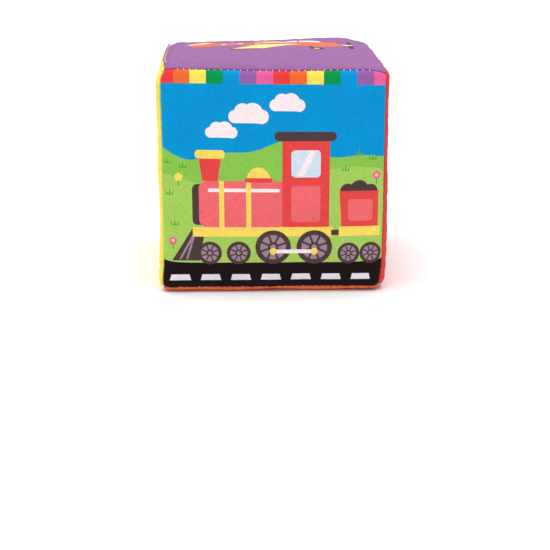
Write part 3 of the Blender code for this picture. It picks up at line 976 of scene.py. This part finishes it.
def front_picture():
    """A steam engine and its tender, rolling to the left."""
    picture = countryside()
    for x, y, size in ((-23, 22, 4.2), (-11, 29, 5.2), (6, 34, 4.6)):
        picture.cloud(x, y, size)
    for x, y in ((-46, -6), (-44, -20), (-47, 8), (32, 5), (44, 10), (38, 12), (-40, 6)):
        picture.tuft(x, y)
    for x, y, petals in ((-45, -31, "strip_pink"), (46, -1, "strip_pink"), (-42, -2, "gold")):
        picture.flower(x, y, petals)
    deck = -25.0
    boiler_low, boiler_high = deck + 4.4, 0.5
    picture.outline("brown", [(-36, deck + 4), (-45.5, BAND_TOP + 1), (-33, BAND_TOP + 1), (-31, deck)])
    for reach in (0.3, 0.62):
        foot = -36 - 9.5 * reach
        picture.bar("mauve", (-35, deck + 2), (foot, BAND_TOP + 1.6), 0.9)
    picture.box("brown", -36, boiler_low + 1, -30, boiler_high - 1.5, 2.2)
    picture.box("light_red", -33, boiler_low, 6, boiler_high, 3.5)
    picture.box("white", -29, boiler_high - 5, 3, boiler_high - 3.4, 0.8)
    for x in (-24, -12):
        picture.box("gold", x, boiler_low, x + 2.2, boiler_high)
    picture.outline("red", [(-24.5, boiler_high), (-31.5, boiler_high), (-33, 11), (-23, 11)])
    picture.box("gold", -34.6, 10.4, -21.4, 14.2, 1.4)
    picture.disc("gold", -6.5, boiler_high - 0.2, 5.4, 6.4, 0, 180)
    picture.box("red", -12.8, boiler_high - 0.6, -0.2, boiler_high + 1.4, 0.9)
    picture.box("red", 4, boiler_low, 25, 19)
    picture.box("light_red", 8, boiler_low + 2.4, 21, -1.6, 1.4)
    picture.box("brown", 0.5, 18.4, 28, 22.6, 2)
    picture.box("glass", 8, 2.2, 21, 14.4, 1.8)
    picture.outline("white", [(10.5, 2.6), (13.5, 2.6), (19, 14), (16, 14)])
    picture.box("gold", -36, deck, 27, boiler_low)
    picture.box("brown", 26, deck + 0.5, 31, deck + 3)
    picture.outline("red", [(30.5, boiler_low), (47, boiler_low), (47, -4), (29.5, -4)])
    picture.box("light_red", 33.5, boiler_low + 2.6, 44.5, -8, 1.2)
    for x, radius, tall in ((33.2, 3.4, 3.4), (38.4, 4.4, 5), (43.4, 3.2, 3.2)):
        picture.disc("brown", x, -4.2, radius, tall, 0, 180)
    picture.box("gold", 29.5, deck, 48, boiler_low)
    finish_countryside(picture)
    for x, radius in ((-28.5, 5.4), (-15.5, 5.4), (0, 8), (18.5, 8), (34, 5), (44, 5)):
        wheel(picture, x, BAND_TOP + radius - 0.8, radius)
    rod = BAND_TOP + 5.2
    picture.bar("white", (0, rod), (18.5, rod), 1.8)
    for x in (0, 18.5):
        picture.disc("gold", x, rod, 1.6)
    return picture


def back_picture():
    """A sailing boat on a lake."""
    picture = countryside()
    picture.disc("gold", -30, 31, 6.5)
    picture.cloud(28, 30, 5)
    picture.cloud(4, 35, 3.4)
    shore = [(x, -8 + 2 * math.sin(x / 9)) for x in np.linspace(-EDGE, EDGE, 50)]
    picture.outline("glass", [(-EDGE, -EDGE), *shore, (EDGE, -EDGE)])
    for y, start in ((-14, -34), (-19, 22), (-25, -40), (-30, 30)):
        for step in range(3):
            picture.disc("sky", start + 5.2 * step, y, 2.6, 0.8)
    picture.box("brown", -1, -18, 1, 27)
    picture.outline("white", [(2.2, -14), (24, -14), (2.2, 24)])
    picture.outline("strip_orange", [(2.2, -14), (24, -14), (19.4, -6), (2.2, -6)])
    picture.outline("straw", [(-2.2, -13), (-20, -13), (-2.2, 17)])
    picture.outline("red", [(0, 27), (9, 24.6), (0, 22.2)])
    picture.outline("red", [(-28, -17), (30, -17), (22, -30), (-20, -30)])
    picture.outline("gold", [(-28, -17), (30, -17), (27.8, -20.6), (-26, -20.6)])
    for x in (-12, 1, 14):
        picture.porthole(x, -24.6, 2.4, 1.6)
    for x, y in ((-42, 6), (-26, 0), (38, 2), (44, 10), (-44, -3), (22, 4)):
        picture.tuft(x, y)
    return finish_countryside(picture)


def top_picture():
    """A propeller aeroplane that flies to the right."""
    picture = Picture("top_cloth")
    middle = 12.0
    picture.outline("amber", [(-35, middle + 2), (-42, middle + 20), (-32, middle + 20),
                              (-20, middle + 6)])
    picture.outline("straw", [(-38.5, middle + 11), (-42, middle + 20), (-32, middle + 20),
                              (-27.7, middle + 14)])
    picture.outline("straw", [(0, middle + 6), (-9, middle + 17), (2, middle + 17), (14, middle + 6)])
    body = picture.arc(14, middle, 22, 9.5, -90, 90) + picture.arc(-24, middle + 2, 14, 4.4, 90, 270)
    picture.outline("amber", body)
    picture.outline("glass", picture.arc(15, middle + 7, 10, 8, 0, 180))
    picture.bar("amber", (14, middle + 6), (14, middle + 15), 1.2)
    picture.outline("straw", [(-4, middle - 2), (-20, middle - 21), (-6, middle - 21), (15, middle - 2)])
    picture.outline("brown", [(-18, middle - 18.6), (-20, middle - 21), (-6, middle - 21),
                              (-3.6, middle - 18.6)])
    for x in (-22, -14, -6):
        picture.porthole(x, middle + 2.4, 2.5, 1.8)
    picture.bar("brown", (18, middle - 8), (21, middle - 15), 1.4)
    picture.disc("brown", 21.6, middle - 16, 3.6)
    picture.disc("straw", 21.6, middle - 16, 1.5)
    picture.disc("brown", 38.6, middle + 6.4, 1.3, 6)
    picture.disc("brown", 38.6, middle - 6.4, 1.3, 6)
    picture.disc("straw", 37.4, middle, 2.6)
    return picture


def left_picture():
    """A hot-air balloon."""
    picture = Picture("left_cloth")
    picture.cloud(-28, 8, 4.6)
    picture.cloud(29, 24, 4)
    x, y, radius = 0.0, 13.0, 21.0
    skirt = [(x + 6, y - radius - 8), (x - 6, y - radius - 8)]
    picture.outline("red", picture.arc(x, y, radius, radius, -35, 215) + skirt[::-1])
    for share, ink in ((0.74, "strip_orange"), (0.42, "strip_green"), (0.14, "sky")):
        gore = picture.arc(x, y, radius * share, radius, -35, 215)
        picture.outline(ink, gore + [(x - 6 * share, y - radius - 8), (x + 6 * share, y - radius - 8)])
    for side in (-1, 1):
        picture.bar("brown", (side * 5.4, y - radius - 8), (side * 4, y - radius - 14), 0.8)
    picture.box("brown", -5.5, y - radius - 22, 5.5, y - radius - 14, 1.4)
    picture.box("strip_orange", -6.2, y - radius - 15.6, 6.2, y - radius - 13.4, 1)
    return picture


def right_picture():
    """A rocket among stars."""
    picture = Picture("right_cloth")
    for x, y, radius in ((-30, 26, 5), (28, 30, 4), (-26, -18, 4), (31, -8, 5), (24, -32, 3.4),
                         (-35, 4, 3)):
        picture.star("gold", x, y, radius)
    picture.outline("strip_orange", [(-6, -22), (6, -22), (0, -40)])
    picture.outline("gold", [(-3.4, -22), (3.4, -22), (0, -33)])
    for side in (-1, 1):
        picture.outline("sky", [(side * 8, -4), (side * 18, -20), (side * 17, -27), (side * 6, -20)])
    picture.outline("white", [(-8, -22), (8, -22), (10.5, -8), (10.5, 8), (7, 22), (0, 34), (-7, 22),
                              (-10.5, 8), (-10.5, -8)])
    picture.outline("sky", [(7, 22), (0, 34), (-7, 22)])
    picture.porthole(0, 9, 6, 4.5)
    picture.box("strip_purple", -9.4, -14, 9.4, -9)
    return picture


def bottom_picture():
    """A kite with its tail."""
    picture = Picture("bottom_cloth")
    x, y = -6.0, 12.0
    picture.outline("gold", [(x, y - 26), (x - 16, y + 4), (x, y + 22), (x + 16, y + 4)])
    picture.outline("strip_purple", [(x, y + 22), (x - 16, y + 4), (x, y + 4)])
    picture.outline("strip_purple", [(x, y - 26), (x + 16, y + 4), (x, y + 4)])
    tail = [(x + 3.2 * math.sin(t / 4) + t * 0.5, y - 26 - t * 0.55) for t in np.linspace(0, 34, 22)]
    for here, there in zip(tail, tail[1:]):
        picture.bar("brown", here, there, 0.8)
    for spot in (6, 13, 20):
        tail_x, tail_y = tail[spot]
        for side in (-1, 1):
            picture.outline("white", [(tail_x, tail_y), (tail_x + side * 4.4, tail_y + 2.4),
                                      (tail_x + side * 4.4, tail_y - 2.4)])
    return picture


PICTURES = {
    "front_panel": front_picture,
    "back_panel": back_picture,
    "left_panel": left_picture,
    "right_panel": right_picture,
    "top_panel": top_picture,
    "bottom_panel": bottom_picture,
}


def contains(outline, spots):
    """Which spots lie within a closed outline."""
    inside = np.zeros(len(spots), bool)
    x, y = spots[:, 0], spots[:, 1]
    for (x0, y0), (x1, y1) in zip(outline, np.roll(outline, -1, axis=0)):
        if y0 == y1:
            continue
        crossing = (y0 > y) != (y1 > y)
        inside ^= crossing & (x < (x1 - x0) * (y - y0) / (y1 - y0) + x0)
    return inside


def inks_at(picture, spots, colours):
    """The colour that the print shows at each spot."""
    inks = np.tile(np.array(getattr(colours, picture.ground)), (len(spots), 1))
    for ink, outline in picture.shapes:
        near = np.all((spots > outline.min(axis=0)) & (spots < outline.max(axis=0)), axis=1)
        chosen = np.flatnonzero(near)
        chosen = chosen[contains(outline, spots[chosen])]
        inks[chosen] = getattr(colours, ink)
    return inks


def beside(edge, reach, along):
    """Flat coordinates at a reach from a panel's middle towards one edge."""
    reach = edge[across_axis(edge)] * reach + np.zeros_like(along)
    return np.stack((reach, along) if edge[0] else (along, reach), -1)


def panel_lattice(form, name):
    """Flat coordinates of a panel's even mesh points, and the cuts round its allowances."""
    border = form.border
    lines = np.linspace(-border, border, GRID_STEPS + 1)
    clipped = lines[np.abs(lines) <= form.clipped_half()]
    spots = [lattice(lines)]
    cuts = []
    for edge in EDGES:
        near, far = form.near_run(name, edge), form.far_run(name, edge)
        rows = [(near * step / FOLD_STEPS, lines) for step in range(1, FOLD_STEPS + 1)]
        rows += [(near + far * step / ALLOWANCE_STEPS, clipped)
                 for step in range(1, ALLOWANCE_STEPS + 1)]
        spots += [beside(edge, border + past, places) for past, places in rows]
        rim = [(border, lines[-1]), (border + near, lines[-1]), (border + near, clipped[-1]),
               (border + near + far, clipped[-1])]
        for end in (1, -1):
            path = [beside(edge, reach, end * place) for reach, place in rim]
            cuts += list(zip(path, path[1:]))
    return np.concatenate(spots), cuts, clipped[-1]


def within_cloth(form, name, spots, clipped):
    """Which flat spots lie on the panel's cloth, and not in the notches at its corners.

    clipped is how far from an edge's middle the allowances end.
    """
    on = np.all(np.abs(spots) < form.border, axis=1)
    for edge in EDGES:
        axis = across_axis(edge)
        past = spots[:, axis] * edge[axis] - form.border
        along = np.abs(spots[:, 1 - axis])
        near, far = form.near_run(name, edge), form.far_run(name, edge)
        on |= (past >= 0) & (past < near) & (along < form.border)
        on |= (past >= near) & (past < near + far) & (along < clipped)
    return on


# How the print's outlines are cut into the cloth, in millimetres
CUT_NEARNESS = 0.001  # points closer than this are one
OUTLINE_STEP = 0.7
FOLDED_STEP = 0.14  # where the cloth bends sharply
FOLDED_REACH = 4.5  # past the border, to where it hangs straight


def step_outline(outline, border):
    """Adds points along an outline, so that its long sides bend with the cloth."""
    every = round(OUTLINE_STEP / FOLDED_STEP)
    ring = []
    for start, end in zip(outline, np.roll(outline, -1, axis=0)):
        pieces = max(1, math.ceil(np.linalg.norm(end - start) / FOLDED_STEP))
        steps = np.arange(pieces)
        spots = start + (end - start) * (steps[:, None] / pieces)
        reach = np.abs(spots).max(axis=1)
        folded = (reach > border - OUTLINE_STEP) & (reach < border + FOLDED_REACH)
        ring.append(spots[folded | (steps % every == 0)])
    return np.concatenate(ring)


def cut_cloth(form, name, picture):
    """A panel's flat points in millimetres and its triangles, cut along every outline of the print."""
    spots, cuts, clipped = panel_lattice(form, name)
    corners = [Vector(spot) for spot in spots / MM]
    edges = []
    for ends in cuts:
        edges.append((len(corners), len(corners) + 1))
        corners += [Vector(spot) / MM for spot in ends]
    for _, outline in picture.shapes:
        first = len(corners)
        corners += [Vector(spot) for spot in step_outline(outline, form.border / MM)]
        count = len(corners) - first
        edges += [(first + i, first + (i + 1) % count) for i in range(count)]
    flat, _, faces, *_ = geometry.delaunay_2d_cdt(corners, edges, [], 0, CUT_NEARNESS)
    flat = np.array([tuple(spot) for spot in flat])
    faces = np.array([tuple(face) for face in faces])
    on = within_cloth(form, name, flat[faces].mean(axis=1) * MM, clipped)
    used, faces = np.unique(faces[on], return_inverse=True)
    return flat[used], faces.reshape(-1, 3)


def new_object(name, data, surface):
    """Links mesh data as an object with one material."""
    data.materials.append(surface)
    made = bpy.data.objects.new(name, data)
    bpy.context.scene.collection.objects.link(made)
    return made


def sew_panel(name, sizes, colours, cloth):
    """One panel: its flat cloth, printed and then bent to shape."""
    form = Form(sizes)
    picture = PICTURES[name]()
    flat, faces = cut_cloth(form, name, picture)
    inks = np.ones((len(faces), 4))
    inks[:, :3] = inks_at(picture, flat[faces].mean(axis=1), colours)
    flat *= MM
    data = bpy.data.meshes.new(name + "_sewn")
    data.from_pydata(form.points(name, flat).tolist(), [], faces.tolist())
    layer = data.color_attributes.new("print", "FLOAT_COLOR", "CORNER")
    layer.data.foreach_set("color", np.repeat(inks, 3, axis=0).ravel())
    uv = data.uv_layers.new(name="flat_cloth")
    uv.data.foreach_set("uv", flat[faces.ravel()].ravel())
    close_notches(data)
    data.shade_smooth()
    panel = new_object(name + "_sewn", data, cloth)
    thickness = panel.modifiers.new("cloth_thickness", "SOLIDIFY")
    thickness.thickness = sizes.cloth_thickness
    thickness.offset = -1
    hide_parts(name)
    return panel


def close_notches(data):
    """Joins the two sides of each corner notch, which meet once the panel is bent."""
    apart = 0.002 * MM
    cloth = bmesh.new()
    cloth.from_mesh(data)
    rim = [vert for vert in cloth.verts if vert.is_boundary]
    bmesh.ops.remove_doubles(cloth, verts=rim, dist=apart)
    cloth.to_mesh(data)
    cloth.free()


def edge_points(form, normal_a, normal_b, along, gap, level):
    """Points beside an edge of the block, in the block's own frame.

    A gap is from the seam's plane towards the first normal's panel. Past the straight part of the
    edge, the points turn towards its end.
    """
    axis = np.abs(np.cross(normal_a, normal_b))
    place = np.clip(along, -form.flat_half, form.flat_half)
    turn = (along - place) / form.radius
    out = (normal_a + normal_b) / ROOT_TWO
    across = (normal_a - normal_b) / ROOT_TWO
    points = form.flat_half * (normal_a + normal_b) + place[:, None] * axis
    points = points + (level * np.cos(turn))[:, None] * out + (level * np.sin(turn))[:, None] * axis
    return points + gap[:, None] * across


def smooth_route(route, closed):
    """A cubic B-spline near a route's points, with THREAD_STEPS to each."""
    route = np.asarray(route)
    count = len(route)
    weights = spline_weights(np.arange(THREAD_STEPS) / THREAD_STEPS).T
    pieces = []
    for i in range(count if closed else count - 1):
        spots = [(i + k) % count if closed else min(max(i + k, 0), count - 1) for k in (-1, 0, 1, 2)]
        pieces.append(weights @ route[spots])
    if not closed:
        pieces.append(route[-1:])
    return np.concatenate(pieces)


def thread_mesh(name, route, radius, closed=False):
    """A round thread along a route, with U along it and V around it."""
    path = smooth_route(route, closed)
    count = len(path)
    ahead = np.roll(path, -1, axis=0) - np.roll(path, 1, axis=0)
    if not closed:
        ahead[0], ahead[-1] = path[1] - path[0], path[-1] - path[-2]
    ahead = [Vector(step).normalized() for step in ahead]
    side = ahead[0].orthogonal().normalized()
    travelled = 0.0
    thread = bmesh.new()
    uv = thread.loops.layers.uv.new("thread")
    angles = [TURN * k / THREAD_SIDES for k in range(THREAD_SIDES)]
    rings, runs = [], []
    for i, (spot, forward) in enumerate(zip(path, ahead)):
        side = (side - forward * side.dot(forward)).normalized()
        other = forward.cross(side)
        if i:
            travelled += float(np.linalg.norm(spot - path[i - 1]))
        rings.append([
            thread.verts.new(Vector(spot) + radius * (side * math.cos(angle) + other * math.sin(angle)))
            for angle in angles])
        runs.append(travelled)
    for i in range(count if closed else count - 1):
        here, there = rings[i], rings[(i + 1) % count]
        far = runs[i + 1] if i + 1 < count else runs[i] + float(np.linalg.norm(path[0] - path[i]))
        for k in range(THREAD_SIDES):
            after = (k + 1) % THREAD_SIDES
            face = thread.faces.new([here[k], here[after], there[after], there[k]])
            marks = [(runs[i], k), (runs[i], k + 1), (far, k + 1), (far, k)]
            for loop, (along, around) in zip(face.loops, marks):
                loop[uv].uv = (along, around / THREAD_SIDES)
    if not closed:
        thread.faces.new(rings[0][::-1])
        thread.faces.new(rings[-1])
    data = bpy.data.meshes.new(name)
    thread.to_mesh(data)
    thread.free()
    data.shade_smooth()
    return data


def add_thread(node, route, sizes, surface, closed=False):
    """The visible thread that stands for one of the frame's threads."""
    name = node + "_stitched"
    thread = new_object(name, thread_mesh(name, route, sizes.thread_diameter / 2, closed), surface)
    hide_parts(node)
    return thread


# The stitches of the seams, each a rung across the groove between two panels
RUNG_REACH = 43 * MM  # from an edge's middle to its last stitch that shows
RUNG_UNEVEN = 0.04 * MM
RUNG_SLANT = 0.12 * MM
RUNG_ARCH = 0.05 * MM  # how far its middle stands up
SHOULDER = 0.08 * MM  # from the end of a rung to where it bends in
SHOULDER_DROP = 0.1 * MM
RUNG_INSIDE = 0.1  # of the fold's radius, down to where its ends are in the folds
HIDDEN_DEPTH = 0.4 * MM  # past the last stitches, where the thread runs between the allowances


def seam_route(form, normal_a, normal_b, start, end, half_rung, sunk):
    """A seam's thread between two places along an edge, as a ladder.

    At each stitch it crosses the groove between the two panels, dips in beside it, and runs on
    inside the fold to the next stitch. sunk is how deep the first and the last stitch that show lie.
    """
    pitch = form.sizes.stitch_pitch
    reach = int(RUNG_REACH / pitch)
    places = [step * pitch for step in range(-reach, reach + 1)]
    if end < start:
        places.reverse()
    shoulder = half_rung + SHOULDER
    shoulder_turn = math.asin(min(1, max(-1, (form.fold_gap - shoulder) / form.fold_radius)))
    surface = form.fold_level + form.fold_radius * math.cos(shoulder_turn)
    inside = form.fold_level - RUNG_INSIDE * form.fold_radius
    hidden = inside - HIDDEN_DEPTH
    draws = np.random.default_rng(edge_seed(normal_a, normal_b))
    # Each point's place along the edge, its gap and its level
    route = [(start, 0, hidden), ((start + places[0]) / 2, 0, hidden)]
    for count, place in enumerate(places):
        side = 1 if count % 2 == 0 else -1
        slant = draws.normal(0, RUNG_SLANT)
        top = surface - np.interp(place, (-RUNG_REACH, RUNG_REACH), sunk) + draws.normal(0, RUNG_UNEVEN)
        low, high = top - SHOULDER_DROP, top + RUNG_ARCH
        rung = [(-form.fold_gap, inside), (-shoulder, low), (-half_rung / 2, high),
                (half_rung / 2, high), (shoulder, low), (form.fold_gap, inside)]
        route += [(place + slant * gap / form.fold_gap, side * gap, level) for gap, level in rung]
    route += [((places[-1] + end) / 2, 0, hidden), (end, 0, hidden)]
    return placed(edge_points(form, normal_a, normal_b, *np.array(route).T), form.sizes)


# The stitches of the ridge
TOPSTITCH_LEVEL = 0.55 * MM  # above the ridge's root
TOPSTITCH_UNEVEN = 0.1 * MM
TOPSTITCH_SLANT = 0.15 * MM
TOPSTITCH_PRESSED = 0.2  # of the thread's thickness, into the cloth
TOPSTITCH_INSIDE = 0.25  # of the ridge's half, where the stitches end in the ridge
TOPSTITCH_BEND = 0.3 * MM
TOPSTITCH_SEED = 11
BACKTACK_STITCHES = 3  # sewn back at each end
BACKTACK_SHIFT = 0.25 * MM
BACKTACK_STAGGER = 0.3  # of a stitch


def topstitch_route(form, side):
    """The topstitch on one face of the ridge: long stitches that dip in at each needle hole.

    side is 1 on the top's face and -1 on the left's. Each end is sewn back over a few stitches.
    """
    sizes = form.sizes
    pitch = sizes.ridge_pitch
    count = int(2 * form.clipped_half() / pitch)
    first = -count * pitch / 2
    # A stitch from hole to hole: shares of its pitch from its middle, and gaps from the ridge's plane
    outside = sizes.ridge_half - TOPSTITCH_PRESSED * sizes.thread_diameter
    inside = TOPSTITCH_INSIDE * sizes.ridge_half
    bent = outside - TOPSTITCH_BEND
    stitch = [(-0.4, inside), (-0.28, bent), (-0.15, outside),
              (0.15, outside), (0.28, bent), (0.4, inside)]
    order = [*range(BACKTACK_STITCHES, 0, -1), *range(count),
             *range(count - 2, count - 2 - BACKTACK_STITCHES, -1)]
    level = form.ridge_root + TOPSTITCH_LEVEL
    draws = np.random.default_rng(TOPSTITCH_SEED + side)
    route = []
    for i, number in enumerate(order):
        back = not BACKTACK_STITCHES <= i < BACKTACK_STITCHES + count
        raised = draws.normal(0, TOPSTITCH_UNEVEN) + BACKTACK_SHIFT * back
        middle = first + (number + 0.5) * pitch + BACKTACK_STAGGER * pitch * back
        route += [(middle + share * pitch, side * gap, level + raised + TOPSTITCH_SLANT * share)
                  for share, gap in (stitch[::-1] if back else stitch)]
    along, gap, level = np.array(route).T
    wander, rise = form.ridge_lean(along, level)
    normals = (normal_of("top_panel"), normal_of("left_panel"))
    return placed(edge_points(form, *normals, along, gap + wander, level + rise), sizes)


def slit_strips(form, name, edge, lines, floor):
    """One side of the slit along an edge of a foam face, as rows of points from its lip to its floor."""
    place, share, gap, level, _ = form.seam_start(lines)
    depth = smooth_step((form.flat_half - np.abs(lines)) / form.sizes.corner_clip)
    low = floor * depth + form.sizes.seam_reach * (1 - depth)
    rows = [(gap, level), (gap, (level + low) / 2), (gap, low), (gap * 0, low)]
    return [placed(form.seam_solid(edge, place, share, *row) @ axes_of(name), form.sizes)
            for row in rows]


def carve_foam(sizes, foam):
    """The foam block: six crowned faces, and a slit along each edge for the seam's allowances."""
    apart = 0.005 * MM
    form = Form(sizes, inset=FOAM_INSET)
    floor = Form(sizes).fold_level - sizes.allowance - SLIT_ROOM
    # Closer together towards the edges, where the foam is rounded
    lines = form.border * np.sin(np.linspace(-QUARTER_TURN, QUARTER_TURN, FOAM_STEPS + 1))
    mesh = bmesh.new()
    for name in PANELS:
        add_face(mesh, form.points(name, lattice(lines)), FOAM_STEPS)
        for edge in EDGES:
            strips = slit_strips(form, name, edge, lines, floor)
            forward = edge[0] - edge[1] > 0
            for upper, lower in zip(strips, strips[1:]):
                for j in range(FOAM_STEPS):
                    quad = [upper[j], lower[j], lower[j + 1], upper[j + 1]][::1 if forward else -1]
                    mesh.faces.new([mesh.verts.new(point) for point in quad])
    bmesh.ops.remove_doubles(mesh, verts=mesh.verts, dist=apart)
    bmesh.ops.recalc_face_normals(mesh, faces=mesh.faces)
    data = bpy.data.meshes.new("foam_block")
    mesh.to_mesh(data)
    mesh.free()
    data.shade_smooth()
    return new_object("foam_block", data, foam)


def settings_of(context):
    """The user's sizes and colours."""
    return context.scene.block_sizes, context.scene.print_colours


def dress(piece):
    """Makes a piece go with the foam block that it covers."""
    piece.parent = bpy.data.objects["foam_block"]


class FABRIC_BLOCK_OT_inflate_cover(bpy.types.Operator):
    """Finds the crown of each panel with a cloth simulation"""

    bl_idname = "fabric_block.inflate_cover"
    bl_label = "Inflate Cover"

    def execute(self, context):
        inflate(context.scene.block_sizes)
        return {"FINISHED"}


class FABRIC_BLOCK_OT_foam(bpy.types.Operator):
    """Cuts the foam block that fills the cover"""

    bl_idname = "fabric_block.foam"
    bl_label = "Foam Block"

    def execute(self, context):
        sizes, colours = settings_of(context)
        foam = carve_foam(sizes, open_cell_foam(colours))
        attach(foam, "root")
        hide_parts("foam_core")
        return {"FINISHED"}


class FABRIC_BLOCK_OT_panels(bpy.types.Operator):
    """Prints and sews the six cloth panels"""

    bl_idname = "fabric_block.panels"
    bl_label = "Cloth Panels"

    def execute(self, context):
        sizes, colours = settings_of(context)
        cloth = printed_polyester()
        for name in PANELS:
            dress(sew_panel(name, sizes, colours, cloth))
        return {"FINISHED"}


# Half the width of a seam's stitches, and how deep the first and the last of them lie
UPRIGHT_RUNG = 0.25 * MM
UPRIGHT_SUNK = (0.62 * MM, 0.62 * MM)
LEVEL_RUNG = 0.29 * MM
LEVEL_SUNK = (0.34 * MM, 0.17 * MM)
LOW_SUNK = (0.36 * MM, 0.36 * MM)
UPRIGHT_PAST = 0.3  # how far an upright thread runs past the straight part of its edge, in radii


class FABRIC_BLOCK_OT_seam_threads(bpy.types.Operator):
    """Lays the threads of the sewn seams"""

    bl_idname = "fabric_block.seam_threads"
    bl_label = "Seam Threads"

    def execute(self, context):
        sizes, colours = settings_of(context)
        surface = spun_thread(colours)
        form = Form(sizes)
        end = form.flat_half + UPRIGHT_PAST * form.radius
        for depth in ("front", "back"):
            for side in ("left", "right"):
                normals = (normal_of(depth + "_panel"), normal_of(side + "_panel"))
                route = seam_route(form, *normals, -end, end, UPRIGHT_RUNG, UPRIGHT_SUNK)
                dress(add_thread(f"{depth}_{side}_seam_thread", route, sizes, surface))
        # Three seams meet at a corner of the block
        corner = form.flat_half + math.atan(1 / ROOT_TWO) * form.radius
        ring = [("front_panel", -1), ("right_panel", -1), ("back_panel", 1), ("left_panel", 1)]
        for level, sides in (("bottom", ring), ("top", ring[:3])):
            legs = []
            for name, sign in sides:
                sunk = LEVEL_SUNK if level == "top" and name != "right_panel" else LOW_SUNK
                legs.append(seam_route(form, normal_of(level + "_panel"), normal_of(name),
                                       sign * corner, -sign * corner, LEVEL_RUNG, sunk))
            route = np.concatenate(legs)
            dress(add_thread(level + "_seam_thread", route, sizes, surface, closed=sides == ring))
        return {"FINISHED"}


class FABRIC_BLOCK_OT_topstitch(bpy.types.Operator):
    """Sews the topstitch that closes the ridge"""

    bl_idname = "fabric_block.topstitch"
    bl_label = "Topstitch"

    def execute(self, context):
        sizes, colours = settings_of(context)
        surface = spun_thread(colours)
        form = Form(sizes)
        for node, side in (("closing_needle_thread", 1), ("closing_bobbin_thread", -1)):
            dress(add_thread(node, topstitch_route(form, side), sizes, surface))
        return {"FINISHED"}


# The camera, in the block's own sizes: where it stands and how it is turned
CAMERA_PLACE = (-12.5 * MM, -571.3 * MM, 170.3 * MM + BASE_ROLL)
CAMERA_PITCH = math.radians(17.35)
CAMERA_YAW = math.radians(1.47)
CAMERA_LENS = 78.5
CAMERA_SENSOR = 36

# The studio
FLOOR_HALF = 6.0
ROOM_LIGHT = 0.45
LAMP_POWER = 2.75
LAMP_BREADTH = math.radians(60)
LAMP_AIM = (0.05, 0.09, -1)


class FABRIC_BLOCK_OT_stage(bpy.types.Operator):
    """Sets up the floor, the soft lamps and the camera"""

    bl_idname = "fabric_block.stage"
    bl_label = "Stage"

    def execute(self, context):
        scene = context.scene
        data = bpy.data.meshes.new("floor")
        corners = [(x * FLOOR_HALF, y * FLOOR_HALF, 0) for x, y in ((-1, -1), (1, -1), (1, 1), (-1, 1))]
        data.from_pydata(corners, [], [(0, 1, 2, 3)])
        new_object("floor", data, matt_floor())
        world = bpy.data.worlds.new("white studio")
        world.use_nodes = True
        tree = world.node_tree
        tree.nodes.clear()
        # The room shows as white, and lights the block less than that
        rays = add_node(tree, "ShaderNodeLightPath")
        seen = rays.outputs["Is Camera Ray"]
        for ray in ("Is Glossy Ray", "Is Transmission Ray"):
            either = add_node(tree, "ShaderNodeMath", {"operation": "MAXIMUM"},
                              {0: seen, 1: rays.outputs[ray]})
            seen = either.outputs[0]
        strength = add_node(tree, "ShaderNodeMapRange", inputs={
            "Value": seen, "From Min": 0, "From Max": 1, "To Min": ROOM_LIGHT, "To Max": 1})
        light = add_node(tree, "ShaderNodeBackground",
                         inputs={"Color": (1, 1, 1, 1), "Strength": strength.outputs["Result"]})
        add_node(tree, "ShaderNodeOutputWorld", inputs={"Surface": light.outputs[0]})
        scene.world = world
        # The light of a broad softbox far overhead, a little towards the camera's left
        lamp = bpy.data.lights.new("overhead_softbox", "SUN")
        lamp.energy = LAMP_POWER
        lamp.angle = LAMP_BREADTH
        holder = bpy.data.objects.new("overhead_softbox", lamp)
        holder.rotation_euler = Vector(LAMP_AIM).to_track_quat("-Z", "Y").to_euler()
        scene.collection.objects.link(holder)
        lens = bpy.data.cameras.new("photograph_view")
        lens.lens = CAMERA_LENS
        lens.sensor_width = CAMERA_SENSOR
        lens.clip_start = 0.01
        eye = bpy.data.objects.new("photograph_view", lens)
        eye.location = CAMERA_PLACE
        eye.rotation_euler = (QUARTER_TURN - CAMERA_PITCH, 0, -CAMERA_YAW)
        scene.collection.objects.link(eye)
        scene.camera = eye
        scene.view_settings.view_transform = "Standard"
        return {"FINISHED"}


class FABRIC_BLOCK_PT_sidebar(bpy.types.Panel):
    """The block's sizes, colours and pieces"""

    bl_label = "Fabric Block"
    bl_space_type = "VIEW_3D"
    bl_region_type = "UI"
    bl_category = "Fabric Block"

    def draw(self, context):
        for group in settings_of(context):
            column = self.layout.column(align=True)
            for key in group.__annotations__:
                column.prop(group, key)
        for operator in OPERATORS:
            self.layout.operator(operator.bl_idname)


OPERATORS = (
    FABRIC_BLOCK_OT_inflate_cover,
    FABRIC_BLOCK_OT_foam,
    FABRIC_BLOCK_OT_panels,
    FABRIC_BLOCK_OT_seam_threads,
    FABRIC_BLOCK_OT_topstitch,
    FABRIC_BLOCK_OT_stage,
)
CLASSES = (BlockSizes, PrintColours, *OPERATORS, FABRIC_BLOCK_PT_sidebar)


def register():
    for each in CLASSES:
        bpy.utils.register_class(each)
    bpy.types.Scene.block_sizes = bpy.props.PointerProperty(type=BlockSizes)
    bpy.types.Scene.print_colours = bpy.props.PointerProperty(type=PrintColours)


def unregister():
    del bpy.types.Scene.print_colours
    del bpy.types.Scene.block_sizes
    for each in reversed(CLASSES):
        bpy.utils.unregister_class(each)


def main():
    """Builds everything."""
    register()
    bpy.ops.fabric_block.inflate_cover()
    bpy.ops.fabric_block.foam()
    bpy.ops.fabric_block.panels()
    bpy.ops.fabric_block.seam_threads()
    bpy.ops.fabric_block.topstitch()
    bpy.ops.fabric_block.stage()


if __name__ == "__main__":
    main()
